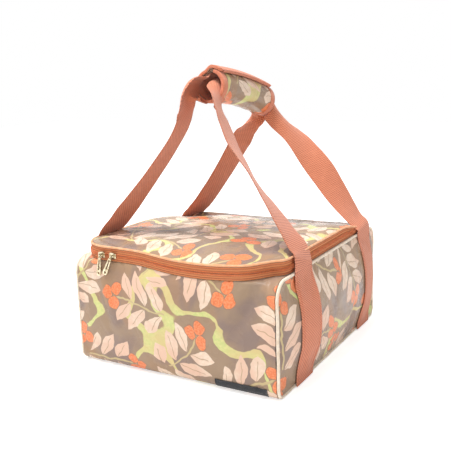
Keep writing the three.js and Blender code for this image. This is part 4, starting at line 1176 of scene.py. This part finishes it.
def closure_tapes():
    """The loop tape on the pad and the hook tape in the flap, face to face."""
    thick = 0.6
    degrees, along = rolled_grid(54, 74, GRIP_LENGTH - 24, 13)
    uv = together(along, np.radians(degrees) * 21)
    for name, lift, material, body, node in (
        ("closure_loop_tape", GAP, LOOP_PILE, "right_loop", "grip_loop_tape"),
        ("closure_hook_tape", 2 * GAP + thick, HOOK_PILE, "flap", "grip_hook_tape"),
    ):
        points, out = grip_rows(0 * degrees + PAD_INNER + PAD + lift + thick, degrees, along)
        shell(name, points, thick, out, material, body, uv, replaces=(node,), slot="webbing")


grip_padding("grip_pad_cloth", PAD_SHEET, "right_loop", "grip_pad", 41, (35, 2010))
grip_padding("grip_flap_cloth", FLAP_SHEET, None, "grip_flap", 51, (35, 2210))
for part, sheet, body in (("pad", PAD_SHEET, "right_loop"), ("flap", FLAP_SHEET, None)):
    end_band(f"grip_{part}_edge_front", -1, sheet, body, f"grip_{part}_binding")
    end_band(f"grip_{part}_edge_rear", 1, sheet, body)
long_band("grip_flap_edge_long", FLAP_SHEET, None)
closure_tapes()


# Label tab


def label_tab():
    """A plain woven tab caught in the seam at the foot of the front."""
    tree = surface_tree(front_surface)
    half = TAB_WIDTH / 2
    x, z = np.meshgrid(TAB_MIDDLE + np.linspace(-half, half, 39), TAB_LOW + np.linspace(0, TAB_HEIGHT, 15),
                       indexing="ij")
    y = np.zeros_like(x)
    for place in np.ndindex(x.shape):
        hit = first_met(tree, (x[place], -OUTSIDE, z[place]), (0, 1, 0))
        y[place] = hit.y if hit else -HALF_DEPTH
    curl = 0.7 * rise(z, 10, 19) * (1 + 0.4 * np.sin(x * 0.09))
    points = together(x, y - 1.2 - curl, z)
    shell("seam_tab", points, 0.8, (0, -1, 0), TAB, "bag", together(x, z),
          replaces=("label_tab",), slot="tab")


label_tab()


# Metal and hidden pieces keep their CAD shape


def dress(name, material, bevel=0.0):
    node = nodes[name]
    node.data.materials.clear()
    node.data.materials.append(material)
    if bevel:
        edges = node.modifiers.new("rounding", "BEVEL")
        put(edges, width=bevel * MM, segments=2, limit_method="ANGLE", angle_limit=math.radians(35))


for name in ("slider_front", "slider_left", "pull_front", "pull_left"):
    dress(name, METAL, 0.3)
for name in ("zip_stop_left", "zip_stop_right"):
    dress(name, ZIP_TAPE, 0.4)
dress("base_board", BOARD)


# Stage, lights and camera

PHOTO_SIZE, FOCAL_LENGTH, SENSOR = 451, 701, 36
CAMERA_PLACE = (488.7, -854.3, 381.7)
YAW, PITCH, ROLL = (math.radians(angle) for angle in (-30.46, 12.31, -1.98))
BAG_CENTRE = (0, 0, 0.12)
WHITE = (1, 1, 1, 1)


def seen_as(tree, plain, seen, surface):
    """The camera and glossy rays meet one shader, all other rays another."""
    path = tree.nodes.new("ShaderNodeLightPath").outputs
    either = tree.nodes.new("ShaderNodeMath")
    either.operation = "MAXIMUM"
    choice = tree.nodes.new("ShaderNodeMixShader")
    tree.links.new(path["Is Camera Ray"], either.inputs[0])
    tree.links.new(path["Is Glossy Ray"], either.inputs[1])
    tree.links.new(either.outputs[0], choice.inputs[0])
    tree.links.new(plain, choice.inputs[1])
    tree.links.new(seen, choice.inputs[2])
    tree.links.new(choice.outputs[0], surface)


def stage():
    """A white floor just under the bag, that keeps its shadow."""
    mesh = bpy.data.meshes.new("floor")
    low = -0.0006
    mesh.from_pydata([(-4, -4, low), (4, -4, low), (4, 4, low), (-4, 4, low)], [], [(0, 1, 2, 3)])
    f = Finish("studio_floor", 0.9)
    colour = f.mix(f.noise(f.place(), 0.02), "#fbfbfb", "#ffffff")
    f.plug(f.shader.inputs["Base Color"], colour)
    glow = f.add("Emission", {"Color": WHITE, "Strength": 0.55})
    both = f.add("AddShader", {0: f.shader.outputs[0], 1: glow.outputs[0]})
    seen_as(f.tree, f.shader.outputs[0], both.outputs[0], f.tree.nodes["Material Output"].inputs["Surface"])
    mesh.materials.append(f.material)
    floor = bpy.data.objects.new("floor", mesh)
    scene.collection.objects.link(floor)


def world_light(strength):
    world = bpy.data.worlds.new("studio")
    scene.world = world
    world.use_nodes = True
    tree = world.node_tree
    back, white = tree.nodes["Background"], tree.nodes.new("ShaderNodeBackground")
    for node, level in ((back, strength), (white, 1.0)):
        node.inputs["Color"].default_value = WHITE
        node.inputs["Strength"].default_value = level
    seen_as(tree, back.outputs[0], white.outputs[0], tree.nodes["World Output"].inputs["Surface"])


def area_light(name, place, size, power):
    data = bpy.data.lights.new(name, "AREA")
    put(data, shape="DISK", size=size, energy=power)
    lamp = bpy.data.objects.new(name, data)
    turn = (Vector(BAG_CENTRE) - Vector(place)).to_track_quat("-Z", "Y")
    put(lamp, location=place, rotation_mode="QUATERNION", rotation_quaternion=turn)
    scene.collection.objects.link(lamp)


def camera():
    """The photo's camera, fitted to the box's corners."""
    level = Vector((math.sin(YAW), math.cos(YAW), 0)) * math.cos(PITCH)
    forward = level - Vector((0, 0, math.sin(PITCH)))
    right = Vector((math.cos(YAW), -math.sin(YAW), 0))
    up = right.cross(forward)
    across = right * math.cos(ROLL) + up * math.sin(ROLL)
    above = up * math.cos(ROLL) - right * math.sin(ROLL)
    data = bpy.data.cameras.new("photo_camera")
    data.sensor_width = SENSOR
    data.lens = FOCAL_LENGTH * SENSOR / PHOTO_SIZE
    seen = bpy.data.objects.new("photo_camera", data)
    turn = Matrix((across, above, -forward)).transposed()
    seen.matrix_world = Matrix.Translation(Vector(CAMERA_PLACE) * MM) @ turn.to_4x4()
    scene.collection.objects.link(seen)
    scene.camera = seen


stage()
world_light(0.58)
area_light("key", (-0.4, -0.3, 2.2), 1.1, 60)
area_light("fill", (1.1, -2.0, 0.9), 1.4, 6.5)
camera()
scene.view_settings.view_transform = "Standard"
